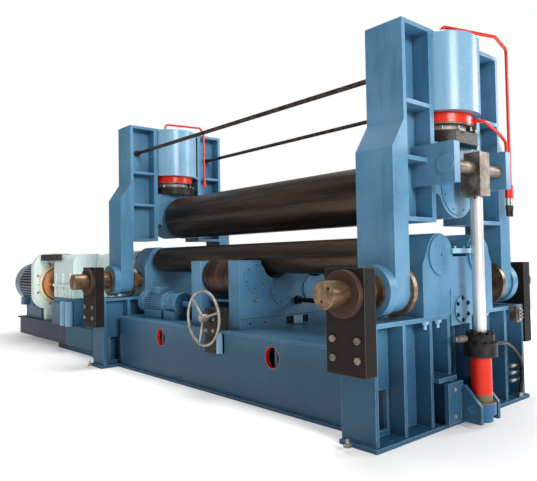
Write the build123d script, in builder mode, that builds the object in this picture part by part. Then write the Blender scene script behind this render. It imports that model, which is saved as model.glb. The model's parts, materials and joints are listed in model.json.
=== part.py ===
from build123d import *
import os
from math import cos, radians, sin, tan

os.makedirs("parts", exist_ok=True)

# Three-roll plate bending machine. +X runs along the rolls to the drop end, -Y is the front.
# Z = 0 is the floor.
# The origin lies midway between the two guide shafts, on the machine's middle plane.

# Main layout
HALF_SPAN = 1970.0          # guide shaft axis from the middle of the machine
SHAFT_Z = 1005.0            # guide shaft height
TOP_ROLL_Z = 1764.0         # top roll axis, half raised
LOWER_ROLL_Y = 265.0        # lower roll axes from the middle plane
LOWER_ROLL_Z = 1244.0
SIDES = (("drive", -1), ("tip", 1))
FACES = (-1, 1)             # front and rear

# Clearances
SEAT = 0.3                  # round pieces of one body, and rolling contact
RUNNING = 0.05              # guide bushes and hinge bores, on the radius
ROD_FIT = 0.3               # hydraulic rods in their glands
MOVING = 5.0                # open gap beside moving pieces

# Plate thicknesses of the weldments
PLATE = 30.0
FLANGE = 48.0
WEB = 40.0

# Rolls
TOP_ROLL_D = 510.0
LOWER_ROLL_D = 300.0
ROLL_FACE = 3450.0
ROLL_CHAMFER = 6.0
TOP_NECK_D = 240.0
TOP_SHOULDER_D = 300.0
LOWER_NECK_D = 200.0
CONE_HALF_ANGLE = 15.0      # lets the drop-end bearing swing off the roll
CONE_LENGTH = 145.0

# Bed
BED_TOP = 590.0
BED_HALF_Y = 812.0
BED_HALF_X = 1825.0
LIFT_HOLE_D = 180.0
LIFT_HOLE_X = 890.0
LIFT_HOLE_Z = 425.0
BED_CELLS = 4
BED_LIP = 24.0
NOTCH_W = 290.0             # front recess of the adjusting worm box
NOTCH_BOTTOM = 380.0

# End stands
STAND_TOP = 805.0
STAND_X = 290.0
STAND_HALF_Y = 1020.0
STAND_RIB_Y = 700.0
STAND_RECESS_Y = 140.0
STAND_FOOT = 28.0
BRACKET_BOX_Y = 230.0
BRACKET_BOX_X = 45.0
BRACKET_BOX_Z = 370.0
BRACKET_CHEEK_Y = 45.0
STAND_HOLES = ((735.0, 900.0, 66.0, 338.0), (225.0, 325.0, 60.0, 272.0))    # across and up, in the web

# Guide shafts and the dark plates that hold them
SHAFT_D = 180.0
SHAFT_HALF = 1328.0
HOLDER_W = 330.0
HOLDER_T = 110.0
HOLDER_BOTTOM = 480.0
HOLDER_TOP = 1170.0
HOLDER_RING_D = 310.0
HOLDER_RING_T = 35.0

# Portal frames
FRAME_X = 320.0
FRAME_TOP = 2885.0
FRAME_OUT_Y = 665.0
LEG_OUT_Y = 800.0
LEG_IN_Y = 640.0
KINK_LOW = 1975.0
KINK_HIGH = 2175.0
WINDOW_HALF = 300.0
COLUMN_BOTTOM = 1480.0
POCKET_OUT_Y = 630.0
RIB_LOW_Z = 1905.0
RIB_HIGH_Z = 2298.0
LEG_END_SIDES = 16          # flats of the rounded leg end
LEG_END_TURN = 11.25        # half a flat, so that one flat continues the leg's face
EYE_D = 360.0
EYE_OUT_Y = 880.0
BUSH_WALL = 20.0
BUSH_LIP_D = 270.0
BUSH_LIP_T = 20.0
BUSH_RING_D = 385.0         # wide ring on the inner face of each leg
BUSH_RING_T = 40.0
STAY_Y = 510.0
STAY_Z = FRAME_TOP - 315.0
STAY_D = 40.0
STAY_HOLE_D = 56.0
STAY_NUT_D = 76.0
STAY_NUT_T = 34.0
STAY_TAIL = 20.0

# Press cylinders and rams
PRESS_D = 640.0
PRESS_BORE_TOP = FRAME_TOP - 325.0
PRESS_BORE_GAP = 2.0
PRESS_BEVEL = 10.0
GLAND_D = 526.0
GLAND_T = 76.0
RAM_D = 420.0
RAM_FLANGE_D = 580.0
RAM_FLANGE_T = 88.0
RAM_TOP = FRAME_TOP - 445.0

# Top roll bearing blocks
BLOCK_X = 300.0
BLOCK_TOP = 2070.0
BLOCK_SHOULDER_Z = 1690.0
BLOCK_ROUND_D = 490.0
BLOCK_FILLET = 45.0
BLOCK_COVER_D = 440.0
BLOCK_COVER_T = 10.0
CONE_BUSH_D = 300.0
CONE_BUSH_X = 165.0

# Lower roll housings
HOUSING_X = 300.0
HOUSING_HALF_Y = 480.0
HOUSING_ROUND_R = 158.0
HOUSING_MID_Z = 1230.0
HOUSING_SLOPE = 27.5
COVER_D = 290.0
COVER_T = 15.0
SMALL_COVER_D = 200.0
SMALL_COVER_Z = 838.0
TONGUE_HALF_Y = 138.0       # plate that reaches down into the stand's top
TONGUE_T = 20.0
TONGUE_PROUD = 5.0
TONGUE_BOTTOM = 722.0
TONGUE_TOP = 990.0

# Support roller unit under the lower rolls
SUPPORT_X = -40.0
SUPPORT_HALF_X = 390.0
SUPPORT_HALF_Y = 720.0
SUPPORT_STAND_T = 160.0
SUPPORT_SEAM_Z = 690.0
SUPPORT_TOP = 1225.0
SUPPORT_MID_TOP = 1110.0
SUPPORT_CRADLE_R = 195.0
SUPPORT_ROLLER_D = 340.0
SUPPORT_OUTER_ANGLE = 32.5
SUPPORT_INNER_ANGLE = 80.0
SUPPORT_SIDE_GAP = 6.0
SUPPORT_NECK_D = 120.0
SUPPORT_NECK_L = 120.0
SUPPORT_COVER_D = 256.0
SUPPORT_COVER_T = 12.0
WEDGE_W = 116.0
WEDGE_CHANNEL_W = 300.0
WEDGE_Z = 600.0
WEDGE_H = 76.0
WEDGE_STICKOUT = 15.0
TIE_D = 25.0
TIE_Y = 620.0
TIE_Z = 842.0
ADJUST_ROD_D = 45.0
ADJUST_ROD_Z = 827.0
ADJUST_KNOB_D = 84.0
ADJUST_KNOB_T = 40.0

# Handwheel and worm box
WHEEL_D = 520.0
WHEEL_RIM_D = 26.0
WHEEL_X = 90.0
WHEEL_Y = -940.0
WHEEL_Z = 706.0
WHEEL_HUB_D = 74.0
WHEEL_HUB_T = 56.0
WHEEL_SPOKES = 3
WHEEL_SPOKE_D = 24.0
WHEEL_TURN = 15.0           # spoke angle at rest
WHEEL_SHAFT_D = 40.0
WORM_W = 170.0
WORM_FRONT_Y = -868.0
WORM_TOP = 792.0
WORM_HUB_D = 110.0
WORM_HUB_T = 18.0

# Small adjusting motor on the bed
ADJUST_Y = -550.0
ADJUST_Z = 762.0
ADJUST_MOTOR_D = 250.0
ADJUST_MOTOR_X0 = -1520.0
ADJUST_MOTOR_L = 420.0
ADJUST_COWL_D = 266.0
ADJUST_COWL_L = 110.0
ADJUST_GEAR_D = 230.0
ADJUST_GEAR_L = 260.0
ADJUST_SHAFT_D = 60.0
ADJUST_FOOT_W = 250.0
ADJUST_FOOT_DROP = 76.0

# Drop-end tilt cylinder; its three pivots form an isosceles triangle with the guide shaft
TILT_X = 305.0              # both pivots stand this far outside the guide shaft
TILT_RISE = 868.0           # and this far above and below it
CROSS_PIN_D = 90.0
EAR_IN_Y = 330.0
EAR_OUT_Y = 400.0
EAR_REACH = 375.0
EAR_BOTTOM = 1740.0
EAR_TOP = 2030.0
EAR_ROUND = 8.0
EAR_CAP_D = 128.0
EAR_CAP_T = 8.0
ROD_D = 90.0
ROD_HEAD_Y = 136.0
ROD_HEAD_IN = 85.0
ROD_HEAD_OUT = 74.0
ROD_HEAD_NOTCH = 53.0
ROD_HEAD_NOTCH_RISE = 20.0
ROD_HEAD_UP = 114.0
ROD_HEAD_DOWN = 205.0
SLEEVE_WALL = 10.0
ROD_END_Z = 600.0
TILT_BARREL_D = 150.0
TILT_BORE_D = 112.0
TILT_BARREL_BELOW = 100.0
TILT_BOTTOM_T = 14.0
TILT_GLAND_D = 236.0
TILT_GLAND_BOTTOM = 504.0
TILT_GLAND_TOP = 665.0
TILT_GLAND_STEP_D = 200.0
TILT_GLAND_STEP = 60.0
COLLAR_D = 196.0
COLLAR_HALF = 45.0
TRUNNION_D = 56.0
TRUNNION_EAR_IN = 106.0
TRUNNION_EAR_T = 30.0
TRUNNION_PLATE_OUT = 300.0
TRUNNION_PLATE_T = 30.0
TRUNNION_PLATE_BOTTOM = 40.0
TRUNNION_PLATE_TOP = 330.0
TRUNNION_REACH = 68.0

# Drive unit
BASE_HALF_Y = 800.0
BASE_TOP = 355.0
BASE_BOTTOM = 80.0
BASE_END_X = -5500.0
BASE_JOINT_X = -3562.0
BASE_FOOT_X = -2640.0
BASE_LIP = 60.0
BASE_LIP_T = 24.0
BASE_GROOVE = 8.0
SKID_X0 = -3911.0
SKID_W = 240.0
SKID_Y = 640.0
DRIVE_Y = -560.0
DRIVE_Z = 905.0
MOTOR_D = 600.0
MOTOR_X0 = -5500.0
MOTOR_COWL_D = 636.0
MOTOR_COWL_L = 190.0
MOTOR_SHAFT_D = 110.0
DRUM_D = 490.0
DRUM_IN_D = 380.0
DRUM_HUB_D = 190.0
DRUM_X0 = -4400.0
DRUM_T = 110.0
BELL_W = 740.0
BELL_BOTTOM = 520.0
BELL_TOP = 1375.0
BELL_T = 110.0
BELL_X0 = -4560.0
BELL_ROUND = 230.0
BELL_BORE_D = 520.0
GUARD_Z = 1300.0
GUARD_T = 50.0
GUARD_HALF_Y = 190.0
GEAR_IN_X0 = -3960.0
GEAR_IN_X1 = -3250.0
GEAR_OUT_X1 = -2480.0
GEAR_TOP = 1345.0
GEAR_IN_HALF_Y = 240.0
GEAR_OUT_HALF_Y = 470.0
GEAR_ROUND = 144.0
GEAR_BOSS_D = 190.0
GEAR_BOSS_T = 45.0
GEAR_SHAFT_D = 130.0
COUPLING_D = 250.0
COUPLING_T = 130.0
COUPLING_X0 = -2360.0

# Hydraulic pipes on the frames
PIPE_D = 26.0
PIPE_BEND = 45.0
PIPE_NUT_R = 22.0
PIPE_NUT_L = 26.0
NUT_SIDES = 6
PIPE_ARCH = 55.0            # above the frame's top
PIPE_OFF = 70.0             # outside the frame's end face
PIPE_LAST_Z = 1811.0
PIPE_FIT_D = 40.0
PIPE_FIT_L = 110.0
TIP_PORT = (156.0, -172.0)  # on the cylinder's top, from its axis
TIP_ARCH_END = 312.0
TIP_ARCH_Y = 346.0
TIP_DROP_Y = (690.0, 640.0)
GLAND_PORT_ANGLE = 30.0     # from the roll's direction, round the gland
GLAND_PORT_REACH = 70.0
GLAND_PIPE_Y = 545.0
GLAND_PIPE_FALL = 50.0
DRIVE_PORT = (90.0, -140.0)
DRIVE_ARCH = 90.0
DRIVE_ARCH_X = 180.0
DRIVE_ARCH_Y = 335.0
DRIVE_DROP_Y = 385.0


# Worked-out places
TOP_ROLL_R = TOP_ROLL_D / 2
LOWER_ROLL_R = LOWER_ROLL_D / 2
HALF_FACE = ROLL_FACE / 2
BLOCK_HALF = BLOCK_X / 2
FRAME_HALF = FRAME_X / 2
SUPPORT_REACH = LOWER_ROLL_R + SUPPORT_ROLLER_D / 2 + SEAT
SUPPORT_OUT = (
    LOWER_ROLL_Y + SUPPORT_REACH * cos(radians(SUPPORT_OUTER_ANGLE)),
    LOWER_ROLL_Z - SUPPORT_REACH * sin(radians(SUPPORT_OUTER_ANGLE)),
)
SUPPORT_IN = (
    LOWER_ROLL_Y - SUPPORT_REACH * cos(radians(SUPPORT_INNER_ANGLE)),
    LOWER_ROLL_Z - SUPPORT_REACH * sin(radians(SUPPORT_INNER_ANGLE)),
)
SUPPORT_ROLLERS = (
    ("front_outer", -SUPPORT_OUT[0], SUPPORT_OUT[1]),
    ("front_inner", -SUPPORT_IN[0], SUPPORT_IN[1]),
    ("rear_inner", SUPPORT_IN[0], SUPPORT_IN[1]),
    ("rear_outer", SUPPORT_OUT[0], SUPPORT_OUT[1]),
)
PIVOT_X = HALF_SPAN + TILT_X
PIN_Z = SHAFT_Z + TILT_RISE
TRUNNION_Z = SHAFT_Z - TILT_RISE
GLAND_PORT_Z = RIB_HIGH_Z - GLAND_T / 2
PIPE_ARCH_Z = FRAME_TOP + PIPE_ARCH
PIPE_DROP_X = HALF_SPAN + FRAME_X / 2 + PIPE_OFF
DRIVE_DROP_X = FRAME_X / 2 + PIPE_D - HALF_SPAN
TIP_PRESS_PIPE = (
    (HALF_SPAN + TIP_PORT[0], TIP_PORT[1], FRAME_TOP), (HALF_SPAN + TIP_PORT[0], TIP_PORT[1], PIPE_ARCH_Z),
    (HALF_SPAN + TIP_ARCH_END, TIP_ARCH_Y, PIPE_ARCH_Z), (PIPE_DROP_X, TIP_DROP_Y[0], PIPE_ARCH_Z),
    (PIPE_DROP_X, TIP_DROP_Y[0], PIPE_LAST_Z),
)
gland_turn = radians(GLAND_PORT_ANGLE)
port_r, elbow_r = GLAND_D / 2, GLAND_D / 2 + GLAND_PORT_REACH
TIP_GLAND_PIPE = (
    (HALF_SPAN + port_r * cos(gland_turn), port_r * sin(gland_turn), GLAND_PORT_Z),
    (HALF_SPAN + elbow_r * cos(gland_turn), elbow_r * sin(gland_turn), GLAND_PORT_Z),
    (PIPE_DROP_X, GLAND_PIPE_Y, GLAND_PORT_Z - GLAND_PIPE_FALL),
    (PIPE_DROP_X, TIP_DROP_Y[1], GLAND_PORT_Z - 2 * GLAND_PIPE_FALL), (PIPE_DROP_X, TIP_DROP_Y[1], PIPE_LAST_Z),
)
DRIVE_PRESS_PIPE = (
    (DRIVE_PORT[0] - HALF_SPAN, DRIVE_PORT[1], FRAME_TOP),
    (DRIVE_PORT[0] - HALF_SPAN, DRIVE_PORT[1], FRAME_TOP + DRIVE_ARCH),
    (DRIVE_ARCH_X - HALF_SPAN, DRIVE_ARCH_Y, FRAME_TOP + DRIVE_ARCH),
    (DRIVE_DROP_X, DRIVE_DROP_Y, FRAME_TOP), (DRIVE_DROP_X, DRIVE_DROP_Y, RIB_HIGH_Z),
)


def cylinder_y(diameter, x, z, y0, y1, mode=Mode.ADD):
    """Round bar or bore along Y between two places."""
    with Locations((x, (y0 + y1) / 2, z)):
        Cylinder(diameter / 2, abs(y1 - y0), rotation=(90, 0, 0), mode=mode)


def cylinder_x(diameter, y, z, x0, x1, mode=Mode.ADD):
    """Round bar or bore along X between two places."""
    with Locations(((x0 + x1) / 2, y, z)):
        Cylinder(diameter / 2, abs(x1 - x0), rotation=(0, 90, 0), mode=mode)


def cylinder_z(diameter, x, y, z0, z1, mode=Mode.ADD):
    """Round bar or bore along Z between two heights."""
    with Locations((x, y, (z0 + z1) / 2)):
        Cylinder(diameter / 2, abs(z1 - z0), mode=mode)


def block(x0, x1, y0, y1, z0, z1, mode=Mode.ADD):
    """Rectangular plate or pocket between two corners."""
    with Locations(((x0 + x1) / 2, (y0 + y1) / 2, (z0 + z1) / 2)):
        Box(abs(x1 - x0), abs(y1 - y0), abs(z1 - z0), mode=mode)


# Bed: a box girder with cross ribs, lifting holes and a recess for the worm box
with BuildPart() as bed:
    block(-BED_HALF_X, BED_HALF_X, -BED_HALF_Y, BED_HALF_Y, 0, BED_TOP)
    block(-BED_HALF_X, BED_HALF_X, -BED_HALF_Y - BED_LIP, BED_HALF_Y + BED_LIP, 0, BED_LIP)
    cell = (2 * BED_HALF_X - (BED_CELLS + 1) * PLATE) / BED_CELLS
    for i in range(BED_CELLS):
        x0 = -BED_HALF_X + PLATE + i * (cell + PLATE)
        block(x0, x0 + cell, PLATE - BED_HALF_Y, BED_HALF_Y - PLATE, PLATE, BED_TOP - PLATE, Mode.SUBTRACT)
    notch_x0, notch_x1 = WHEEL_X - NOTCH_W / 2, WHEEL_X + NOTCH_W / 2
    block(
        notch_x0 - PLATE, notch_x1 + PLATE, -BED_HALF_Y + PLATE / 2, PLATE - SUPPORT_HALF_Y,
        NOTCH_BOTTOM - PLATE, BED_TOP - PLATE / 2,
    )
    block(notch_x0, notch_x1, -BED_HALF_Y, -SUPPORT_HALF_Y, NOTCH_BOTTOM, BED_TOP, Mode.SUBTRACT)
    for hole_x in (-LIFT_HOLE_X, LIFT_HOLE_X):
        cylinder_y(LIFT_HOLE_D, hole_x, LIFT_HOLE_Z, -BED_HALF_Y, PLATE - BED_HALF_Y, Mode.SUBTRACT)
        cylinder_y(LIFT_HOLE_D, hole_x, LIFT_HOLE_Z, BED_HALF_Y - PLATE, BED_HALF_Y, Mode.SUBTRACT)
bed.part.label = "bed"
export_step(bed.part, "parts/bed.step")

# End stands: a middle web with ribs on both sides, a foot and a top plate
for end, side in SIDES:
    inner, outer = side * BED_HALF_X, side * (BED_HALF_X + STAND_X)
    with BuildPart() as end_stand:
        web_in, web_out = side * (HALF_SPAN - PLATE / 2), side * (HALF_SPAN + PLATE / 2)
        block(web_in, web_out, -STAND_HALF_Y, STAND_HALF_Y, PLATE, STAND_TOP - PLATE)
        block(inner, outer, -STAND_HALF_Y, STAND_HALF_Y, STAND_TOP - PLATE, STAND_TOP)
        block(inner, outer + side * STAND_FOOT, -STAND_HALF_Y - STAND_FOOT, STAND_HALF_Y + STAND_FOOT, 0, PLATE)
        block(web_out, outer, -STAND_RECESS_Y, STAND_RECESS_Y, STAND_TOP - PLATE, STAND_TOP, Mode.SUBTRACT)
        for face in FACES:
            for rib_y in (STAND_HALF_Y - PLATE / 2, STAND_RIB_Y, STAND_RECESS_Y + PLATE / 2):
                rib_mid = face * rib_y
                block(inner, outer, rib_mid - PLATE / 2, rib_mid + PLATE / 2, PLATE, STAND_TOP - PLATE)
            box_in, box_out = face * STAND_RECESS_Y, face * (STAND_RECESS_Y + BRACKET_BOX_Y)
            stiff_mid = box_out + face * PLATE / 2
            block(inner, outer, stiff_mid - PLATE / 2, stiff_mid + PLATE / 2, PLATE, STAND_TOP - PLATE)
            if side > 0:
                shelf_out = outer + BRACKET_BOX_X
                block(web_in, shelf_out, box_in, box_out, BRACKET_BOX_Z - PLATE, BRACKET_BOX_Z)
                cheek = box_in + face * BRACKET_CHEEK_Y
                block(web_in, shelf_out, cheek, cheek + face * PLATE, PLATE, BRACKET_BOX_Z)
            for hole_in, hole_out, hole_bottom, hole_top in STAND_HOLES:
                block(web_in, web_out, face * hole_in, face * hole_out, hole_bottom, hole_top, Mode.SUBTRACT)
    end_stand.part.label = f"{end}_end_stand"
    export_step(end_stand.part, f"parts/{end}_end_stand.step")

# Guide shafts and the four plates that clamp them to the stands
with BuildPart() as guide_shafts:
    for end, side in SIDES:
        cylinder_y(SHAFT_D, side * HALF_SPAN, SHAFT_Z, -SHAFT_HALF, SHAFT_HALF)
    end_edges = guide_shafts.edges().filter_by(GeomType.CIRCLE)
    chamfer(end_edges, ROLL_CHAMFER)
guide_shafts.part.label = "guide_shafts"
export_step(guide_shafts.part, "parts/guide_shafts.step")

with BuildPart() as shaft_plates:
    for end, side in SIDES:
        for face in FACES:
            x0 = side * HALF_SPAN
            y0, y1 = sorted((face * STAND_HALF_Y, face * (STAND_HALF_Y + HOLDER_T)))
            block(x0 - HOLDER_W / 2, x0 + HOLDER_W / 2, y0, y1, HOLDER_BOTTOM, HOLDER_TOP)
            r0, r1 = sorted((face * (STAND_HALF_Y + HOLDER_T), face * (STAND_HALF_Y + HOLDER_T + HOLDER_RING_T)))
            cylinder_y(HOLDER_RING_D, x0, SHAFT_Z, r0, r1)
            cylinder_y(SHAFT_D + 2 * RUNNING, x0, SHAFT_Z, min(y0, r0), max(y1, r1), Mode.SUBTRACT)
shaft_plates.part.label = "shaft_plates"
export_step(shaft_plates.part, "parts/shaft_plates.step")

# Portal frames: two ribbed columns on guide-shaft eyes, joined at the top round the press cylinder
for end, side in SIDES:
    x_mid = side * HALF_SPAN
    with BuildPart() as portal:
        with BuildSketch(Plane.YZ.offset(x_mid)):
            with BuildLine():
                Polyline(
                    (-FRAME_OUT_Y, FRAME_TOP), (-FRAME_OUT_Y, KINK_HIGH), (-LEG_OUT_Y, KINK_LOW),
                    (-LEG_OUT_Y, COLUMN_BOTTOM), (-WINDOW_HALF, COLUMN_BOTTOM), (-WINDOW_HALF, FRAME_TOP),
                    close=True,
                )
            make_face()
            mirror(about=Plane.YZ)
        extrude(amount=FRAME_HALF, both=True)
        for level in (RIB_HIGH_Z, FRAME_TOP - PLATE):
            block(x_mid - FRAME_HALF, x_mid + FRAME_HALF, -WINDOW_HALF, WINDOW_HALF, level, level + PLATE)
        block(x_mid - WEB / 2, x_mid + WEB / 2, -WINDOW_HALF, WINDOW_HALF, RIB_HIGH_Z, FRAME_TOP)
        for face in FACES:
            leg_in, leg_out, eye_out = face * LEG_IN_Y, face * LEG_OUT_Y, face * EYE_OUT_Y
            block(x_mid - FRAME_HALF, x_mid + FRAME_HALF, leg_in, leg_out, SHAFT_Z, COLUMN_BOTTOM)
            with BuildSketch(Plane.XZ.offset(-leg_in)):
                with Locations((x_mid, SHAFT_Z)):
                    RegularPolygon(FRAME_HALF, LEG_END_SIDES, major_radius=False, rotation=LEG_END_TURN)
            extrude(amount=leg_in - leg_out)
            cylinder_y(EYE_D, x_mid, SHAFT_Z, leg_out, eye_out)
            cylinder_y(SHAFT_D + 2 * BUSH_WALL, x_mid, SHAFT_Z, leg_in, eye_out, Mode.SUBTRACT)
            pocket_y0, pocket_y1 = face * (WINDOW_HALF + FLANGE), face * POCKET_OUT_Y
            levels = (COLUMN_BOTTOM, RIB_LOW_Z, RIB_HIGH_Z, FRAME_TOP - PLATE)
            for low, high in zip(levels, levels[1:]):
                for web_side in (-1, 1):
                    block(
                        x_mid + web_side * WEB / 2, x_mid + web_side * FRAME_HALF, pocket_y0, pocket_y1,
                        low + PLATE, high, Mode.SUBTRACT,
                    )
            hole_d = STAY_D + 2 * SEAT if side < 0 else STAY_HOLE_D
            cylinder_x(hole_d, face * STAY_Y, STAY_Z, x_mid - WEB / 2, x_mid + WEB / 2, Mode.SUBTRACT)
        cylinder_z(PRESS_D + 2 * SEAT, x_mid, 0, RIB_HIGH_Z, FRAME_TOP, Mode.SUBTRACT)
        if side > 0:
            for face in FACES:
                with BuildSketch(Plane.XZ.offset(-face * EAR_IN_Y)):
                    with BuildLine():
                        Polyline(
                            (x_mid, EAR_BOTTOM), (x_mid + EAR_REACH, EAR_BOTTOM),
                            (x_mid + EAR_REACH, EAR_TOP), (x_mid, EAR_TOP), close=True,
                        )
                    ear_face = make_face()
                    fillet(ear_face.vertices().group_by(Axis.X)[-1], EAR_ROUND)
                extrude(amount=-face * (EAR_OUT_Y - EAR_IN_Y))
                cylinder_y(EAR_CAP_D, PIVOT_X, PIN_Z, face * EAR_OUT_Y, face * (EAR_OUT_Y + EAR_CAP_T))
                cylinder_y(
                    CROSS_PIN_D + 2 * RUNNING, PIVOT_X, PIN_Z, face * EAR_IN_Y, face * EAR_OUT_Y, Mode.SUBTRACT,
                )
    portal.part.label = f"{end}_frame"
    export_step(portal.part, f"parts/{end}_frame.step")

    # Flanged bronze bushes in the leg eyes
    with BuildPart() as bushes:
        for face in FACES:
            ring_in, lip_out = face * (LEG_IN_Y - BUSH_RING_T), face * (EYE_OUT_Y + BUSH_LIP_T)
            bush_d = SHAFT_D + 2 * BUSH_WALL - 2 * RUNNING
            cylinder_y(bush_d, x_mid, SHAFT_Z, face * LEG_IN_Y, face * EYE_OUT_Y)
            cylinder_y(BUSH_LIP_D, x_mid, SHAFT_Z, face * EYE_OUT_Y, lip_out)
            cylinder_y(BUSH_RING_D, x_mid, SHAFT_Z, ring_in, face * LEG_IN_Y)
            cylinder_y(SHAFT_D + 2 * RUNNING, x_mid, SHAFT_Z, ring_in, lip_out, Mode.SUBTRACT)
    bushes.part.label = f"{end}_frame_bushes"
    export_step(bushes.part, f"parts/{end}_frame_bushes.step")

    # Press cylinder with its red gland, and the ram with the flange that carries the bearing block
    with BuildPart() as press_cylinder:
        cylinder_z(PRESS_D, x_mid, 0, RIB_HIGH_Z, FRAME_TOP)
        chamfer(press_cylinder.faces().sort_by(Axis.Z)[-1].edges(), PRESS_BEVEL)
        cylinder_z(RAM_D + 2 * PRESS_BORE_GAP, x_mid, 0, RIB_HIGH_Z, PRESS_BORE_TOP, Mode.SUBTRACT)
    press_cylinder.part.label = f"{end}_press_cylinder"
    export_step(press_cylinder.part, f"parts/{end}_press_cylinder.step")

    with BuildPart() as press_gland:
        cylinder_z(GLAND_D, x_mid, 0, RIB_HIGH_Z - GLAND_T, RIB_HIGH_Z)
        cylinder_z(RAM_D + 2 * ROD_FIT, x_mid, 0, RIB_HIGH_Z - GLAND_T, RIB_HIGH_Z, Mode.SUBTRACT)
    press_gland.part.label = f"{end}_press_gland"
    export_step(press_gland.part, f"parts/{end}_press_gland.step")

    with BuildPart() as ram:
        cylinder_z(RAM_FLANGE_D, x_mid, 0, BLOCK_TOP, BLOCK_TOP + RAM_FLANGE_T)
        if side > 0:
            flat_x, rim_x, rim_y = PIVOT_X - ROD_HEAD_NOTCH - MOVING, PIVOT_X, RAM_FLANGE_D / 2
            block(flat_x, rim_x, -rim_y, rim_y, BLOCK_TOP, BLOCK_TOP + RAM_FLANGE_T, Mode.SUBTRACT)
        cylinder_z(RAM_D, x_mid, 0, BLOCK_TOP + RAM_FLANGE_T, RAM_TOP)
    ram.part.label = f"{end}_ram"
    export_step(ram.part, f"parts/{end}_ram.step")

    # Top roll bearing block: square guide above, round below, a cover on the outer face
    with BuildPart() as bearing_block:
        with BuildSketch(Plane.YZ.offset(x_mid)):
            with Locations((0, TOP_ROLL_Z)):
                Circle(BLOCK_ROUND_D / 2)
            with Locations((0, (BLOCK_TOP + BLOCK_SHOULDER_Z) / 2)):
                outline = Rectangle(2 * (WINDOW_HALF - MOVING), BLOCK_TOP - BLOCK_SHOULDER_Z)
        extrude(amount=BLOCK_HALF, both=True)
        neck_edges = [
            e for e in bearing_block.edges().filter_by(Axis.X)
            if abs(e.center().Z - BLOCK_SHOULDER_Z) < 1 and abs(e.center().Y) < BLOCK_ROUND_D / 2
        ]
        fillet(neck_edges, BLOCK_FILLET)
        cover_in, cover_out = x_mid + side * BLOCK_HALF, x_mid + side * (BLOCK_HALF + BLOCK_COVER_T)
        cylinder_x(BLOCK_COVER_D, 0, TOP_ROLL_Z, cover_in, cover_out)
        if side < 0:
            bore_x0, bore_x1, bore_d = cover_out, x_mid + BLOCK_HALF, TOP_NECK_D + 2 * SEAT
        else:
            bore_x0, bore_x1 = x_mid - BLOCK_HALF, x_mid - BLOCK_HALF + CONE_BUSH_X
            bore_d = CONE_BUSH_D + 2 * RUNNING
        cylinder_x(bore_d, 0, TOP_ROLL_Z, bore_x0, bore_x1, Mode.SUBTRACT)
    bearing_block.part.label = f"{end}_bearing_block"
    export_step(bearing_block.part, f"parts/{end}_bearing_block.step")

# Lower roll housings: a block on each end stand, round over the two roll necks
shoulder_y = LOWER_ROLL_Y + HOUSING_ROUND_R * cos(radians(HOUSING_SLOPE))
shoulder_z = LOWER_ROLL_Z + HOUSING_ROUND_R * sin(radians(HOUSING_SLOPE))
side_z = shoulder_z - (HOUSING_HALF_Y - shoulder_y) / tan(radians(HOUSING_SLOPE))
for end, side in SIDES:
    inner, outer = side * BED_HALF_X, side * (BED_HALF_X + HOUSING_X)
    with BuildPart() as roll_housing:
        with BuildSketch(Plane.YZ.offset(inner)):
            with BuildLine():
                Polyline(
                    (-HOUSING_HALF_Y, STAND_TOP), (-HOUSING_HALF_Y, side_z), (-shoulder_y, shoulder_z),
                    (-LOWER_ROLL_Y, LOWER_ROLL_Z), (-LOWER_ROLL_Y, HOUSING_MID_Z), (LOWER_ROLL_Y, HOUSING_MID_Z),
                    (LOWER_ROLL_Y, LOWER_ROLL_Z), (shoulder_y, shoulder_z), (HOUSING_HALF_Y, side_z),
                    (HOUSING_HALF_Y, STAND_TOP), close=True,
                )
            make_face()
            with Locations((-LOWER_ROLL_Y, LOWER_ROLL_Z), (LOWER_ROLL_Y, LOWER_ROLL_Z)):
                Circle(HOUSING_ROUND_R)
                Circle(LOWER_NECK_D / 2 + SEAT, mode=Mode.SUBTRACT)
        extrude(amount=side * HOUSING_X)
        cylinder_y(
            SHAFT_D + 2 * SEAT, side * HALF_SPAN, SHAFT_Z, -HOUSING_HALF_Y, HOUSING_HALF_Y, Mode.SUBTRACT,
        )
    roll_housing.part.label = f"{end}_roll_housing"
    export_step(roll_housing.part, f"parts/{end}_roll_housing.step")

# Round covers on the outer faces of the housings, drilled at the drive end for the roll shafts
with BuildPart() as housing_covers:
    for end, side in SIDES:
        face_x = side * (BED_HALF_X + HOUSING_X)
        cover_x = face_x + side * COVER_T
        for roll_y in (-LOWER_ROLL_Y, LOWER_ROLL_Y):
            cylinder_x(COVER_D, roll_y, LOWER_ROLL_Z, face_x, cover_x)
            if side < 0:
                bore = LOWER_NECK_D + 2 * MOVING
                cylinder_x(bore, roll_y, LOWER_ROLL_Z, face_x, cover_x, Mode.SUBTRACT)
        tongue_in, tongue_out = face_x - side * TONGUE_T, face_x + side * TONGUE_PROUD
        block(tongue_in, tongue_out, -TONGUE_HALF_Y, TONGUE_HALF_Y, TONGUE_BOTTOM, STAND_TOP)
        block(face_x, tongue_out, -TONGUE_HALF_Y, TONGUE_HALF_Y, STAND_TOP, TONGUE_TOP)
        cylinder_x(SMALL_COVER_D, 0, SMALL_COVER_Z, tongue_out, tongue_out + side * COVER_T)
housing_covers.part.label = "housing_covers"
export_step(housing_covers.part, "parts/housing_covers.step")

# Support roller unit: a split base, two cradle stands and four rollers below the lower rolls
support_x0, support_x1 = SUPPORT_X - SUPPORT_HALF_X, SUPPORT_X + SUPPORT_HALF_X
with BuildPart() as support_base:
    block(support_x0, support_x1, -SUPPORT_HALF_Y, SUPPORT_HALF_Y, BED_TOP, SUPPORT_SEAM_Z)
    block(
        support_x0, support_x1, -WEDGE_CHANNEL_W / 2, WEDGE_CHANNEL_W / 2, WEDGE_Z, WEDGE_Z + WEDGE_H, Mode.SUBTRACT
    )
support_base.part.label = "support_base"
export_step(support_base.part, "parts/support_base.step")

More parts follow.
